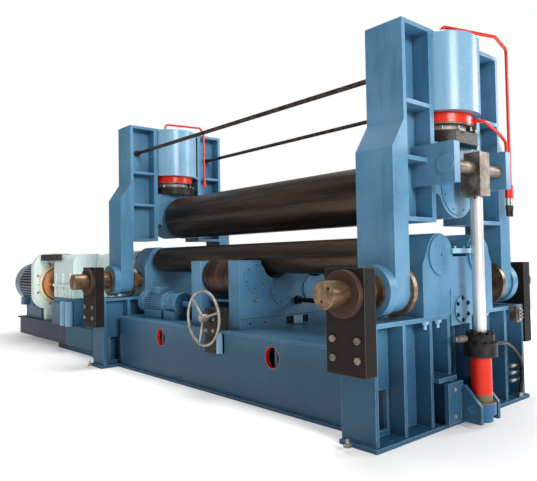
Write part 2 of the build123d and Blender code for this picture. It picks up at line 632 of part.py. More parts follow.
with BuildPart() as wedge_bar:
    block(
        support_x0 - WEDGE_STICKOUT, support_x1 + WEDGE_STICKOUT, -WEDGE_W / 2, WEDGE_W / 2,
        WEDGE_Z, WEDGE_Z + WEDGE_H,
    )
wedge_bar.part.label = "wedge_bar"
export_step(wedge_bar.part, "parts/wedge_bar.step")

with BuildPart() as support_stands:
    for stand_x in (support_x0, support_x1 - SUPPORT_STAND_T):
        with BuildSketch(Plane.YZ.offset(stand_x)):
            with Locations((0, (SUPPORT_SEAM_Z + SUPPORT_TOP) / 2)):
                Rectangle(2 * SUPPORT_HALF_Y, SUPPORT_TOP - SUPPORT_SEAM_Z)
            with Locations((0, (SUPPORT_MID_TOP + SUPPORT_TOP) / 2)):
                Rectangle(2 * LOWER_ROLL_Y, SUPPORT_TOP - SUPPORT_MID_TOP, mode=Mode.SUBTRACT)
            with Locations((-LOWER_ROLL_Y, LOWER_ROLL_Z), (LOWER_ROLL_Y, LOWER_ROLL_Z)):
                Circle(SUPPORT_CRADLE_R, mode=Mode.SUBTRACT)
        extrude(amount=SUPPORT_STAND_T)
    for name, roller_y, roller_z in SUPPORT_ROLLERS:
        cylinder_x(SUPPORT_COVER_D, roller_y, roller_z, support_x0 - SUPPORT_COVER_T, support_x0)
        cylinder_x(SUPPORT_COVER_D, roller_y, roller_z, support_x1, support_x1 + SUPPORT_COVER_T)
        for face_x, depth in (
            (support_x0 + SUPPORT_STAND_T, -SUPPORT_NECK_L - MOVING),
            (support_x1 - SUPPORT_STAND_T, SUPPORT_NECK_L + MOVING),
        ):
            bore = SUPPORT_NECK_D + 2 * SEAT
            cylinder_x(bore, roller_y, roller_z, face_x, face_x + depth, Mode.SUBTRACT)
    for tie_y in (-TIE_Y, TIE_Y):
        cylinder_x(TIE_D, tie_y, TIE_Z, support_x0 + SUPPORT_STAND_T, support_x1 - SUPPORT_STAND_T)
support_stands.part.label = "support_stands"
export_step(support_stands.part, "parts/support_stands.step")

roller_x0 = support_x0 + SUPPORT_STAND_T + SUPPORT_SIDE_GAP
roller_x1 = support_x1 - SUPPORT_STAND_T - SUPPORT_SIDE_GAP
for name, roller_y, roller_z in SUPPORT_ROLLERS:
    with BuildPart() as support_roller:
        cylinder_x(SUPPORT_ROLLER_D, roller_y, roller_z, roller_x0, roller_x1)
        chamfer(support_roller.edges().filter_by(GeomType.CIRCLE), ROLL_CHAMFER)
        neck_out = SUPPORT_NECK_L + SUPPORT_SIDE_GAP
        cylinder_x(SUPPORT_NECK_D, roller_y, roller_z, roller_x0 - neck_out, roller_x1 + neck_out)
    support_roller.part.label = f"{name}_support_roller"
    export_step(support_roller.part, f"parts/{name}_support_roller.step")

# Long shaft from the support unit to the drop-end housing, with its end knob
with BuildPart() as adjusting_shaft:
    cylinder_x(ADJUST_ROD_D, 0, ADJUST_ROD_Z, support_x1, BED_HALF_X)
    cylinder_x(ADJUST_KNOB_D, 0, ADJUST_ROD_Z, support_x1, support_x1 + ADJUST_KNOB_T)
adjusting_shaft.part.label = "adjusting_shaft"
export_step(adjusting_shaft.part, "parts/adjusting_shaft.step")

# Worm box in the front recess of the bed, and the handwheel on its shaft
with BuildPart() as worm_box:
    block(
        WHEEL_X - WORM_W / 2, WHEEL_X + WORM_W / 2, WORM_FRONT_Y, -SUPPORT_HALF_Y, NOTCH_BOTTOM, WORM_TOP,
    )
    fillet(worm_box.edges().filter_by(Axis.Y).group_by(Axis.Z)[-1], WORM_HUB_T)
    cylinder_y(WORM_HUB_D, WHEEL_X, WHEEL_Z, WORM_FRONT_Y - WORM_HUB_T, WORM_FRONT_Y)
    bore_end = WORM_FRONT_Y + WORM_HUB_D
    cylinder_y(WHEEL_SHAFT_D + 2 * SEAT, WHEEL_X, WHEEL_Z, WORM_FRONT_Y - WORM_HUB_T, bore_end, Mode.SUBTRACT)
worm_box.part.label = "worm_box"
export_step(worm_box.part, "parts/worm_box.step")

rim_r = (WHEEL_D - WHEEL_RIM_D) / 2
with BuildPart() as handwheel:
    with Locations(Location((WHEEL_X, WHEEL_Y, WHEEL_Z), (90, 0, 0))):
        Torus(rim_r, WHEEL_RIM_D / 2)
        Cylinder(WHEEL_HUB_D / 2, WHEEL_HUB_T)
        with PolarLocations(rim_r / 2, WHEEL_SPOKES, start_angle=WHEEL_TURN):
            Cylinder(WHEEL_SPOKE_D / 2, rim_r, rotation=(0, 90, 0))
    shaft_end = WORM_FRONT_Y + WORM_HUB_D - MOVING
    cylinder_y(WHEEL_SHAFT_D, WHEEL_X, WHEEL_Z, WHEEL_Y, shaft_end)
handwheel.part.label = "handwheel"
export_step(handwheel.part, "parts/handwheel.step")

# Small motor with gear head on the bed, driving the support unit
with BuildPart() as adjusting_motor:
    cowl_x = ADJUST_MOTOR_X0 - ADJUST_COWL_L
    gear_x = ADJUST_MOTOR_X0 + ADJUST_MOTOR_L
    cylinder_x(ADJUST_MOTOR_D, ADJUST_Y, ADJUST_Z, ADJUST_MOTOR_X0, gear_x)
    cylinder_x(ADJUST_COWL_D, ADJUST_Y, ADJUST_Z, cowl_x, ADJUST_MOTOR_X0)
    cylinder_x(ADJUST_GEAR_D, ADJUST_Y, ADJUST_Z, gear_x, gear_x + ADJUST_GEAR_L)
    cylinder_x(ADJUST_SHAFT_D, ADJUST_Y, ADJUST_Z, gear_x + ADJUST_GEAR_L, support_x0)
    for foot_x, foot_l in ((ADJUST_MOTOR_X0, ADJUST_MOTOR_L), (gear_x, ADJUST_GEAR_L)):
        foot_y0, foot_y1 = ADJUST_Y - ADJUST_FOOT_W / 2, ADJUST_Y + ADJUST_FOOT_W / 2
        block(foot_x + PLATE, foot_x + foot_l - PLATE, foot_y0, foot_y1, BED_TOP, ADJUST_Z - ADJUST_FOOT_DROP)
adjusting_motor.part.label = "adjusting_motor"
export_step(adjusting_motor.part, "parts/adjusting_motor.step")

# Top roll: plain neck through the drive bearing, coned neck in the drop-end bearing
drop_end_bore_x = HALF_SPAN - BLOCK_HALF
cone_x0 = drop_end_bore_x - MOVING
cone_x1 = cone_x0 + CONE_LENGTH
cone_r1 = TOP_NECK_D / 2 - CONE_LENGTH * tan(radians(CONE_HALF_ANGLE))
drive_end_x = -HALF_SPAN - BLOCK_HALF - BLOCK_COVER_T
with BuildPart() as top_roll:
    with BuildSketch(Plane.XZ):
        with BuildLine():
            Polyline(
                (drive_end_x - PLATE, TOP_ROLL_Z), (drive_end_x - PLATE, TOP_ROLL_Z + TOP_SHOULDER_D / 2 - PLATE / 2),
                (drive_end_x - MOVING, TOP_ROLL_Z + TOP_SHOULDER_D / 2 - PLATE / 2),
                (drive_end_x - MOVING, TOP_ROLL_Z + TOP_NECK_D / 2),
                (-drop_end_bore_x + MOVING, TOP_ROLL_Z + TOP_NECK_D / 2),
                (-drop_end_bore_x + MOVING, TOP_ROLL_Z + TOP_SHOULDER_D / 2),
                (-HALF_FACE, TOP_ROLL_Z + TOP_SHOULDER_D / 2),
                (-HALF_FACE, TOP_ROLL_Z + TOP_ROLL_R - ROLL_CHAMFER),
                (ROLL_CHAMFER - HALF_FACE, TOP_ROLL_Z + TOP_ROLL_R),
                (HALF_FACE - ROLL_CHAMFER, TOP_ROLL_Z + TOP_ROLL_R),
                (HALF_FACE, TOP_ROLL_Z + TOP_ROLL_R - ROLL_CHAMFER),
                (HALF_FACE, TOP_ROLL_Z + TOP_SHOULDER_D / 2),
                (cone_x0 - MOVING, TOP_ROLL_Z + TOP_SHOULDER_D / 2),
                (cone_x0 - MOVING, TOP_ROLL_Z + TOP_NECK_D / 2),
                (cone_x0, TOP_ROLL_Z + TOP_NECK_D / 2),
                (cone_x1, TOP_ROLL_Z + cone_r1), (cone_x1, TOP_ROLL_Z), close=True,
            )
        make_face()
    revolve(axis=Axis((0, 0, TOP_ROLL_Z), (1, 0, 0)))
top_roll.part.label = "top_roll"
export_step(top_roll.part, "parts/top_roll.step")

# Bronze cone bush of the drop-end bearing
bush_x1 = drop_end_bore_x + CONE_BUSH_X
slope = tan(radians(CONE_HALF_ANGLE))
mouth_r = TOP_NECK_D / 2 - (drop_end_bore_x - cone_x0) * slope + SEAT / cos(radians(CONE_HALF_ANGLE))
floor_x = cone_x1 + MOVING
with BuildPart() as cone_bush:
    with BuildSketch(Plane.XZ):
        with BuildLine():
            Polyline(
                (drop_end_bore_x, TOP_ROLL_Z + CONE_BUSH_D / 2), (drop_end_bore_x, TOP_ROLL_Z + mouth_r),
                (floor_x, TOP_ROLL_Z + mouth_r - (floor_x - drop_end_bore_x) * slope), (floor_x, TOP_ROLL_Z),
                (bush_x1, TOP_ROLL_Z), (bush_x1, TOP_ROLL_Z + CONE_BUSH_D / 2), close=True,
            )
        make_face()
    revolve(axis=Axis((0, 0, TOP_ROLL_Z), (1, 0, 0)))
cone_bush.part.label = "tip_cone_bush"
export_step(cone_bush.part, "parts/tip_cone_bush.step")

# Lower rolls and the couplings that join them to the gearbox
for name, roll_y in (("front", -LOWER_ROLL_Y), ("rear", LOWER_ROLL_Y)):
    with BuildPart() as lower_roll:
        cylinder_x(LOWER_ROLL_D, roll_y, LOWER_ROLL_Z, -HALF_FACE, HALF_FACE)
        chamfer(lower_roll.edges().filter_by(GeomType.CIRCLE), ROLL_CHAMFER)
        neck_out = BED_HALF_X + HOUSING_X
        cylinder_x(LOWER_NECK_D, roll_y, LOWER_ROLL_Z, COUPLING_X0 + COUPLING_T, neck_out - MOVING)
    lower_roll.part.label = f"{name}_lower_roll"
    export_step(lower_roll.part, f"parts/{name}_lower_roll.step")

    with BuildPart() as drive_coupling:
        cylinder_x(COUPLING_D, roll_y, LOWER_ROLL_Z, COUPLING_X0, COUPLING_X0 + COUPLING_T)
        shaft_in = GEAR_OUT_X1 - GEAR_BOSS_T
        cylinder_x(GEAR_SHAFT_D, roll_y, LOWER_ROLL_Z, shaft_in, COUPLING_X0)
    drive_coupling.part.label = f"{name}_roll_coupling"
    export_step(drive_coupling.part, f"parts/{name}_roll_coupling.step")

# Tilt cylinder at the drop end: barrel on trunnions, rod head on the cross pin of the frame
with BuildPart() as tilt_barrel:
    cylinder_z(TILT_BARREL_D, PIVOT_X, 0, TRUNNION_Z - TILT_BARREL_BELOW, TILT_GLAND_BOTTOM)
    cylinder_z(COLLAR_D, PIVOT_X, 0, TRUNNION_Z - COLLAR_HALF, TRUNNION_Z + COLLAR_HALF)
    cylinder_y(TRUNNION_D, PIVOT_X, TRUNNION_Z, -TRUNNION_EAR_IN - TRUNNION_EAR_T, TRUNNION_EAR_IN + TRUNNION_EAR_T)
    bore_z = TRUNNION_Z - TILT_BARREL_BELOW + TILT_BOTTOM_T
    cylinder_z(TILT_BORE_D, PIVOT_X, 0, bore_z, TILT_GLAND_BOTTOM, Mode.SUBTRACT)
tilt_barrel.part.label = "tilt_barrel"
export_step(tilt_barrel.part, "parts/tilt_barrel.step")

with BuildPart() as tilt_gland:
    cylinder_z(TILT_GLAND_D, PIVOT_X, 0, TILT_GLAND_BOTTOM, TILT_GLAND_TOP - TILT_GLAND_STEP)
    cylinder_z(TILT_GLAND_STEP_D, PIVOT_X, 0, TILT_GLAND_TOP - TILT_GLAND_STEP, TILT_GLAND_TOP)
    cylinder_z(ROD_D + 2 * ROD_FIT, PIVOT_X, 0, TILT_GLAND_BOTTOM, TILT_GLAND_TOP, Mode.SUBTRACT)
tilt_gland.part.label = "tilt_gland"
export_step(tilt_gland.part, "parts/tilt_gland.step")

sleeve_d = CROSS_PIN_D + 2 * SLEEVE_WALL
with BuildPart() as rod_head:
    with BuildSketch(Plane.XZ.offset(-ROD_HEAD_Y / 2)):
        with BuildLine():
            Polyline(
                (PIVOT_X - ROD_HEAD_IN, PIN_Z - ROD_HEAD_DOWN), (PIVOT_X + ROD_HEAD_OUT, PIN_Z - ROD_HEAD_DOWN),
                (PIVOT_X + ROD_HEAD_OUT, PIN_Z + ROD_HEAD_UP), (PIVOT_X - ROD_HEAD_NOTCH, PIN_Z + ROD_HEAD_UP),
                (PIVOT_X - ROD_HEAD_NOTCH, PIN_Z + ROD_HEAD_NOTCH_RISE),
                (PIVOT_X - ROD_HEAD_IN, PIN_Z - ROD_HEAD_NOTCH_RISE), close=True,
            )
        make_face()
    extrude(amount=ROD_HEAD_Y)
    bore_y = ROD_HEAD_Y / 2
    cylinder_y(sleeve_d + 2 * RUNNING, PIVOT_X, PIN_Z, -bore_y, bore_y, Mode.SUBTRACT)
rod_head.part.label = "rod_head"
export_step(rod_head.part, "parts/rod_head.step")

with BuildPart() as tilt_rod:
    cylinder_z(ROD_D, PIVOT_X, 0, ROD_END_Z, PIN_Z - ROD_HEAD_DOWN)
tilt_rod.part.label = "tilt_rod"
export_step(tilt_rod.part, "parts/tilt_rod.step")

with BuildPart() as pin_sleeve:
    cylinder_y(sleeve_d, PIVOT_X, PIN_Z, -ROD_HEAD_Y / 2, ROD_HEAD_Y / 2)
    cylinder_y(CROSS_PIN_D + 2 * RUNNING, PIVOT_X, PIN_Z, -ROD_HEAD_Y / 2, ROD_HEAD_Y / 2, Mode.SUBTRACT)
pin_sleeve.part.label = "pin_sleeve"
export_step(pin_sleeve.part, "parts/pin_sleeve.step")

with BuildPart() as cross_pin:
    cylinder_y(CROSS_PIN_D, PIVOT_X, PIN_Z, SEAT - EAR_OUT_Y, EAR_OUT_Y - SEAT)
cross_pin.part.label = "cross_pin"
export_step(cross_pin.part, "parts/cross_pin.step")

# Trunnion bracket on the outer face of the drop-end stand, one plate and ear each side of the cylinder
plate_x0 = BED_HALF_X + STAND_X + BRACKET_BOX_X
plate_x1 = plate_x0 + TRUNNION_PLATE_T
ear_x1 = PIVOT_X + TRUNNION_REACH
with BuildPart() as trunnion_bracket:
    for face in FACES:
        block(
            plate_x0, plate_x1, face * TRUNNION_EAR_IN, face * TRUNNION_PLATE_OUT,
            TRUNNION_PLATE_BOTTOM, TRUNNION_PLATE_TOP,
        )
        with BuildSketch(Plane.XZ.offset(-face * TRUNNION_EAR_IN)):
            with BuildLine():
                Polyline(
                    (plate_x1, TRUNNION_PLATE_BOTTOM), (ear_x1, TRUNNION_PLATE_BOTTOM),
                    (ear_x1, TRUNNION_Z + PLATE), (plate_x1 + PLATE, TRUNNION_PLATE_TOP - PLATE),
                    (plate_x1, TRUNNION_PLATE_TOP - PLATE), close=True,
                )
            make_face()
        extrude(amount=-face * TRUNNION_EAR_T)
        y0, y1 = sorted((face * TRUNNION_EAR_IN, face * (TRUNNION_EAR_IN + TRUNNION_EAR_T)))
        cylinder_y(TRUNNION_D + 2 * RUNNING, PIVOT_X, TRUNNION_Z, y0, y1, Mode.SUBTRACT)
trunnion_bracket.part.label = "trunnion_bracket"
export_step(trunnion_bracket.part, "parts/trunnion_bracket.step")

# Stay rods from the drive frame to the drop-end frame, with a collar short of the drop-end web
with BuildPart() as stay_rods:
    web_in = HALF_SPAN - WEB / 2
    for stay_y in (-STAY_Y, STAY_Y):
        cylinder_x(STAY_D, stay_y, STAY_Z, -HALF_SPAN - WEB / 2 - 2 * STAY_NUT_T, HALF_SPAN + WEB / 2 + STAY_TAIL)
        cylinder_x(STAY_NUT_D, stay_y, STAY_Z, -web_in, STAY_NUT_T - web_in)
        cylinder_x(STAY_NUT_D, stay_y, STAY_Z, -web_in - WEB - STAY_NUT_T, -web_in - WEB)
        cylinder_x(STAY_NUT_D, stay_y, STAY_Z, web_in - SEAT - STAY_NUT_T, web_in - SEAT)
stay_rods.part.label = "stay_rods"
export_step(stay_rods.part, "parts/stay_rods.step")

# Drive unit base: three joined boxes with a top lip, on skids beside the end stand
stand_out = -BED_HALF_X - STAND_X
with BuildPart() as drive_base:
    block(BASE_END_X, BASE_FOOT_X, -BASE_HALF_Y, BASE_HALF_Y, BASE_BOTTOM, BASE_TOP)
    block(BASE_FOOT_X, stand_out - STAND_FOOT, -BASE_HALF_Y, BASE_HALF_Y, 0, BASE_TOP)
    block(stand_out - STAND_FOOT, stand_out, -BASE_HALF_Y, BASE_HALF_Y, PLATE, BASE_TOP)
    lip_y = BASE_HALF_Y + BASE_LIP_T
    block(
        BASE_END_X - BASE_LIP, BASE_JOINT_X - 2 * BASE_GROOVE, -lip_y, lip_y, BASE_TOP - BASE_LIP_T, BASE_TOP,
    )
    hollow_y = BASE_HALF_Y - PLATE
    for x0, x1 in ((BASE_END_X, BASE_JOINT_X), (BASE_JOINT_X, BASE_FOOT_X), (BASE_FOOT_X, stand_out - STAND_FOOT)):
        block(
            x0 + PLATE, x1 - PLATE, -hollow_y, hollow_y, BASE_BOTTOM + PLATE, BASE_TOP - PLATE, Mode.SUBTRACT,
        )
    for face in FACES:
        groove_y = face * BASE_HALF_Y
        for joint_x in (BASE_JOINT_X, BASE_FOOT_X):
            block(
                joint_x - BASE_GROOVE, joint_x, groove_y, groove_y - face * BASE_GROOVE,
                BASE_BOTTOM, BASE_TOP, Mode.SUBTRACT,
            )
        skid_mid = face * SKID_Y
        block(SKID_X0, BASE_FOOT_X, skid_mid - SKID_W / 2, skid_mid + SKID_W / 2, 0, BASE_BOTTOM)
drive_base.part.label = "drive_base"
export_step(drive_base.part, "parts/drive_base.step")

# Motor with cowl, feet box and shaft
with BuildPart() as motor:
    cylinder_x(MOTOR_D, DRIVE_Y, DRIVE_Z, MOTOR_X0, BELL_X0)
    cylinder_x(MOTOR_COWL_D, DRIVE_Y, DRIVE_Z, MOTOR_X0, MOTOR_X0 + MOTOR_COWL_L)
    cylinder_x(MOTOR_SHAFT_D, DRIVE_Y, DRIVE_Z, BELL_X0, DRUM_X0)
motor.part.label = "motor"
export_step(motor.part, "parts/motor.step")

foot_half = MOTOR_D / 2 - PLATE
with BuildPart() as motor_stand:
    block(
        MOTOR_X0 + MOTOR_COWL_L + PLATE, BELL_X0 - PLATE, -foot_half + DRIVE_Y + 2 * PLATE, foot_half + DRIVE_Y,
        BASE_TOP, DRIVE_Z - MOTOR_D / 4,
    )
    cylinder_x(MOTOR_D + 2 * SEAT, DRIVE_Y, DRIVE_Z, MOTOR_X0, BELL_X0, Mode.SUBTRACT)
motor_stand.part.label = "motor_stand"
export_step(motor_stand.part, "parts/motor_stand.step")

# Bell housing plate between motor and brake drum
with BuildPart() as bell_plate:
    with BuildSketch(Plane.YZ.offset(BELL_X0)):
        with Locations((DRIVE_Y, (BELL_BOTTOM + BELL_TOP) / 2)):
            RectangleRounded(BELL_W, BELL_TOP - BELL_BOTTOM, BELL_ROUND)
    extrude(amount=BELL_T)
    cylinder_x(BELL_BORE_D, DRIVE_Y, DRIVE_Z, BELL_X0 + PLATE, BELL_X0 + BELL_T, Mode.SUBTRACT)
    cylinder_x(MOTOR_SHAFT_D + 2 * MOVING, DRIVE_Y, DRIVE_Z, BELL_X0, BELL_X0 + PLATE, Mode.SUBTRACT)
    block(BELL_X0, BELL_X0 + BELL_T, DRIVE_Y - BELL_W / 4, DRIVE_Y + BELL_W / 2 - PLATE, BASE_TOP, BELL_BOTTOM)
bell_plate.part.label = "bell_plate"
export_step(bell_plate.part, "parts/bell_plate.step")

# Brake drum on the motor shaft
with BuildPart() as brake_drum:
    cylinder_x(DRUM_D, DRIVE_Y, DRIVE_Z, DRUM_X0, DRUM_X0 + DRUM_T)
    cylinder_x(DRUM_IN_D, DRIVE_Y, DRIVE_Z, DRUM_X0 + PLATE, DRUM_X0 + DRUM_T, Mode.SUBTRACT)
    cylinder_x(DRUM_HUB_D, DRIVE_Y, DRIVE_Z, DRUM_X0, DRUM_X0 + DRUM_T + PLATE)
    cylinder_x(MOTOR_SHAFT_D, DRIVE_Y, DRIVE_Z, DRUM_X0 + DRUM_T, GEAR_IN_X0)
brake_drum.part.label = "brake_drum"
export_step(brake_drum.part, "parts/brake_drum.step")

with BuildPart() as drum_guard:
    block(BELL_X0 + BELL_T, GEAR_IN_X0, DRIVE_Y - GUARD_HALF_Y, DRIVE_Y + GUARD_HALF_Y, GUARD_Z, GUARD_Z + GUARD_T)
drum_guard.part.label = "drum_guard"
export_step(drum_guard.part, "parts/drum_guard.step")

# Gearbox: an input case behind the brake and an output case behind the lower rolls
with BuildPart() as gearbox:
    for x0, x1, y_mid, half_y in (
        (GEAR_IN_X0, GEAR_IN_X1, DRIVE_Y, GEAR_IN_HALF_Y), (GEAR_IN_X1, GEAR_OUT_X1, 0, GEAR_OUT_HALF_Y),
    ):
        with BuildSketch(Plane.YZ.offset(x0)):
            with Locations((y_mid, (BASE_TOP + GEAR_TOP) / 2)):
                case = Rectangle(2 * half_y, GEAR_TOP - BASE_TOP)
            fillet(case.vertices().group_by(Axis.Y)[-1], GEAR_ROUND)
        extrude(amount=x1 - x0)
    for roll_y in (-LOWER_ROLL_Y, LOWER_ROLL_Y):
        cylinder_x(GEAR_BOSS_D, roll_y, LOWER_ROLL_Z, GEAR_OUT_X1, GEAR_OUT_X1 + GEAR_BOSS_T)
        bore = GEAR_SHAFT_D + 2 * SEAT
        bore_x0 = GEAR_OUT_X1 - GEAR_BOSS_T - MOVING
        cylinder_x(bore, roll_y, LOWER_ROLL_Z, bore_x0, GEAR_OUT_X1 + GEAR_BOSS_T, Mode.SUBTRACT)
gearbox.part.label = "gearbox"
export_step(gearbox.part, "parts/gearbox.step")

# Red hydraulic pipes from the top of each press cylinder
for end, runs in (("tip", (TIP_PRESS_PIPE, TIP_GLAND_PIPE)), ("drive", (DRIVE_PRESS_PIPE,))):
    with BuildPart() as pipe:
        for places in runs:
            with BuildLine() as run:
                FilletPolyline(*places, radius=PIPE_BEND)
            with BuildSketch(Plane(origin=run.line @ 0, z_dir=run.line % 0)):
                Circle(PIPE_D / 2)
            sweep(path=run.line)
            with BuildSketch(Plane(origin=run.line @ 0, z_dir=run.line % 0)):
                RegularPolygon(PIPE_NUT_R, NUT_SIDES)
            extrude(amount=PIPE_NUT_L)
            last = run.line @ 1
            cylinder_z(PIPE_FIT_D, last.X, last.Y, last.Z - PIPE_FIT_L, last.Z)
    pipe.part.label = f"{end}_pipe"
    export_step(pipe.part, f"parts/{end}_pipe.step")
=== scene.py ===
# %% [markdown]
# # A three-roll plate bending machine
# The solids of this machine come from its CAD model. This lesson adds what the CAD leaves out: paint
# that has been used, oily rolls, bolt heads, cooling fins and hydraulic fittings. Every length is in
# metres, and +X runs along the rolls to the drop end, -Y is the front, and Z = 0 is the floor.

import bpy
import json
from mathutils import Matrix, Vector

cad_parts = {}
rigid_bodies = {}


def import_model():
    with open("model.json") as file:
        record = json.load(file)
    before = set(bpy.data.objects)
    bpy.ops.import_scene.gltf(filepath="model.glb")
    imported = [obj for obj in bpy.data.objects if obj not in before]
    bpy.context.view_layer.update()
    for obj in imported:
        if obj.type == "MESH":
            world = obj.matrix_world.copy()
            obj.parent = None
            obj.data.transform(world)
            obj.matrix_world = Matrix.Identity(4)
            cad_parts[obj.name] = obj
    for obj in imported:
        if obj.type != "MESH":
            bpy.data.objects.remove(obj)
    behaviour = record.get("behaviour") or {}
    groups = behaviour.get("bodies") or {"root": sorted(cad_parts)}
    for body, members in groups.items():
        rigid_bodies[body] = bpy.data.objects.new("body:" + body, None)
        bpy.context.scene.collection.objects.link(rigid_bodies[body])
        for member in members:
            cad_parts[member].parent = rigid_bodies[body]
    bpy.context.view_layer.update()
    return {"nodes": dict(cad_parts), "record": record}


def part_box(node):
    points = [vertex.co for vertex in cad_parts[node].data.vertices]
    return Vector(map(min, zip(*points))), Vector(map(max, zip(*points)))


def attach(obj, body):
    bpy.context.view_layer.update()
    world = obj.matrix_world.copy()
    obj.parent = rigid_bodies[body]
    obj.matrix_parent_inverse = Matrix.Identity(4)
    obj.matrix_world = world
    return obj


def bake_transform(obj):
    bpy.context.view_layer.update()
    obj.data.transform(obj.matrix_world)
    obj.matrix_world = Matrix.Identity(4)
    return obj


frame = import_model()
print("CAD nodes:", len(frame["nodes"]))

# %% Libraries
import json
from math import cos, pi, radians, sin

import bmesh
import bpy
from mathutils import Matrix, Vector

nodes = frame["nodes"]
scene = bpy.context.scene
print("Blender", bpy.app.version_string)

# %% [markdown]
# ## Camera
# The photograph was taken from beside the drop end, at about the height of a chest. A camera is placed
# by three directions: its right, its up and its line of sight. Building the matrix from them keeps the
# angle exact, where three turns would have to be tuned by eye.

# %% Place the camera
IMAGE_W = 537
FOCAL_PIXELS = 567.6
CAMERA_PLACE = Vector((4.417, -3.890, 1.240))
CAMERA_RIGHT = Vector((0.6550, 0.7555, -0.0174))
CAMERA_DOWN = Vector((-0.0352, 0.0075, -0.9995))
SENSOR_MM = 36.0

sight = CAMERA_RIGHT.cross(CAMERA_DOWN).normalized()
turn = Matrix((CAMERA_RIGHT, -CAMERA_DOWN, -sight)).transposed().to_4x4()
camera = bpy.data.objects.new("camera", bpy.data.cameras.new("camera"))
camera.matrix_world = Matrix.Translation(CAMERA_PLACE) @ turn
camera.data.sensor_width = SENSOR_MM
camera.data.lens = SENSOR_MM * FOCAL_PIXELS / IMAGE_W
camera.data.clip_end = 200.0
scene.collection.objects.link(camera)
scene.camera = camera
print("lens", round(camera.data.lens, 2), "mm, line of sight", [round(v, 3) for v in sight])

# %% [markdown]
# ## Shader formulas
# A worn paint is a formula: where the edge mask is high, show the lighter chipped paint with a painted
# highlight, and where the crevice mask is high, show painted shade. Nodes can be wired by hand, but a
# formula is easier to read. The class below wraps one output socket and gives it +, -, *, / and **. Each
# operator adds one Math node.

# %% A socket that does arithmetic
class Wire:
    """An output socket that can stand in a formula."""

    def __init__(self, shop, socket):
        self.shop, self.socket = shop, socket

    def __add__(self, other):
        return self.shop.math("ADD", self, other)

    def __mul__(self, other):
        return self.shop.math("MULTIPLY", self, other)

    def __sub__(self, other):
        return self.shop.math("SUBTRACT", self, other)

    def __rsub__(self, other):
        return self.shop.math("SUBTRACT", other, self)

    def __truediv__(self, other):
        return self.shop.math("DIVIDE", self, other)

    def __pow__(self, other):
        return self.shop.math("POWER", self, other)

    __radd__ = __add__
    __rmul__ = __mul__


print("sockets now take + - * / and **")

# %% Colours as a painter names them
def linear(colour):
    """An sRGB colour of 0 to 255 in the linear values a shader needs."""
    parts = [c / 255 for c in colour]
    return [c / 12.92 if c <= 0.04045 else ((c + 0.055) / 1.055) ** 2.4 for c in parts] + [1.0]


print("mid grey in linear light:", round(linear((128, 128, 128))[0], 3))

# %% [markdown]
# ## A workbench for one material
# Every finish here needs clouds, lighter edges that are partly worn and partly a painted highlight,
# painted shade in corners and bands of another colour. These masks are the same for all of them, so they
# are made once, as methods of a class that holds one material's node tree.

# %% Masks and the final shader
ZONE_EDGE = 0.002
EDGE_FLAT, EDGE_SHARP = 0.985, 0.80
SPECULAR, COAT_ROUGHNESS, BUMP_STRENGTH = 0.24, 0.12, 0.6


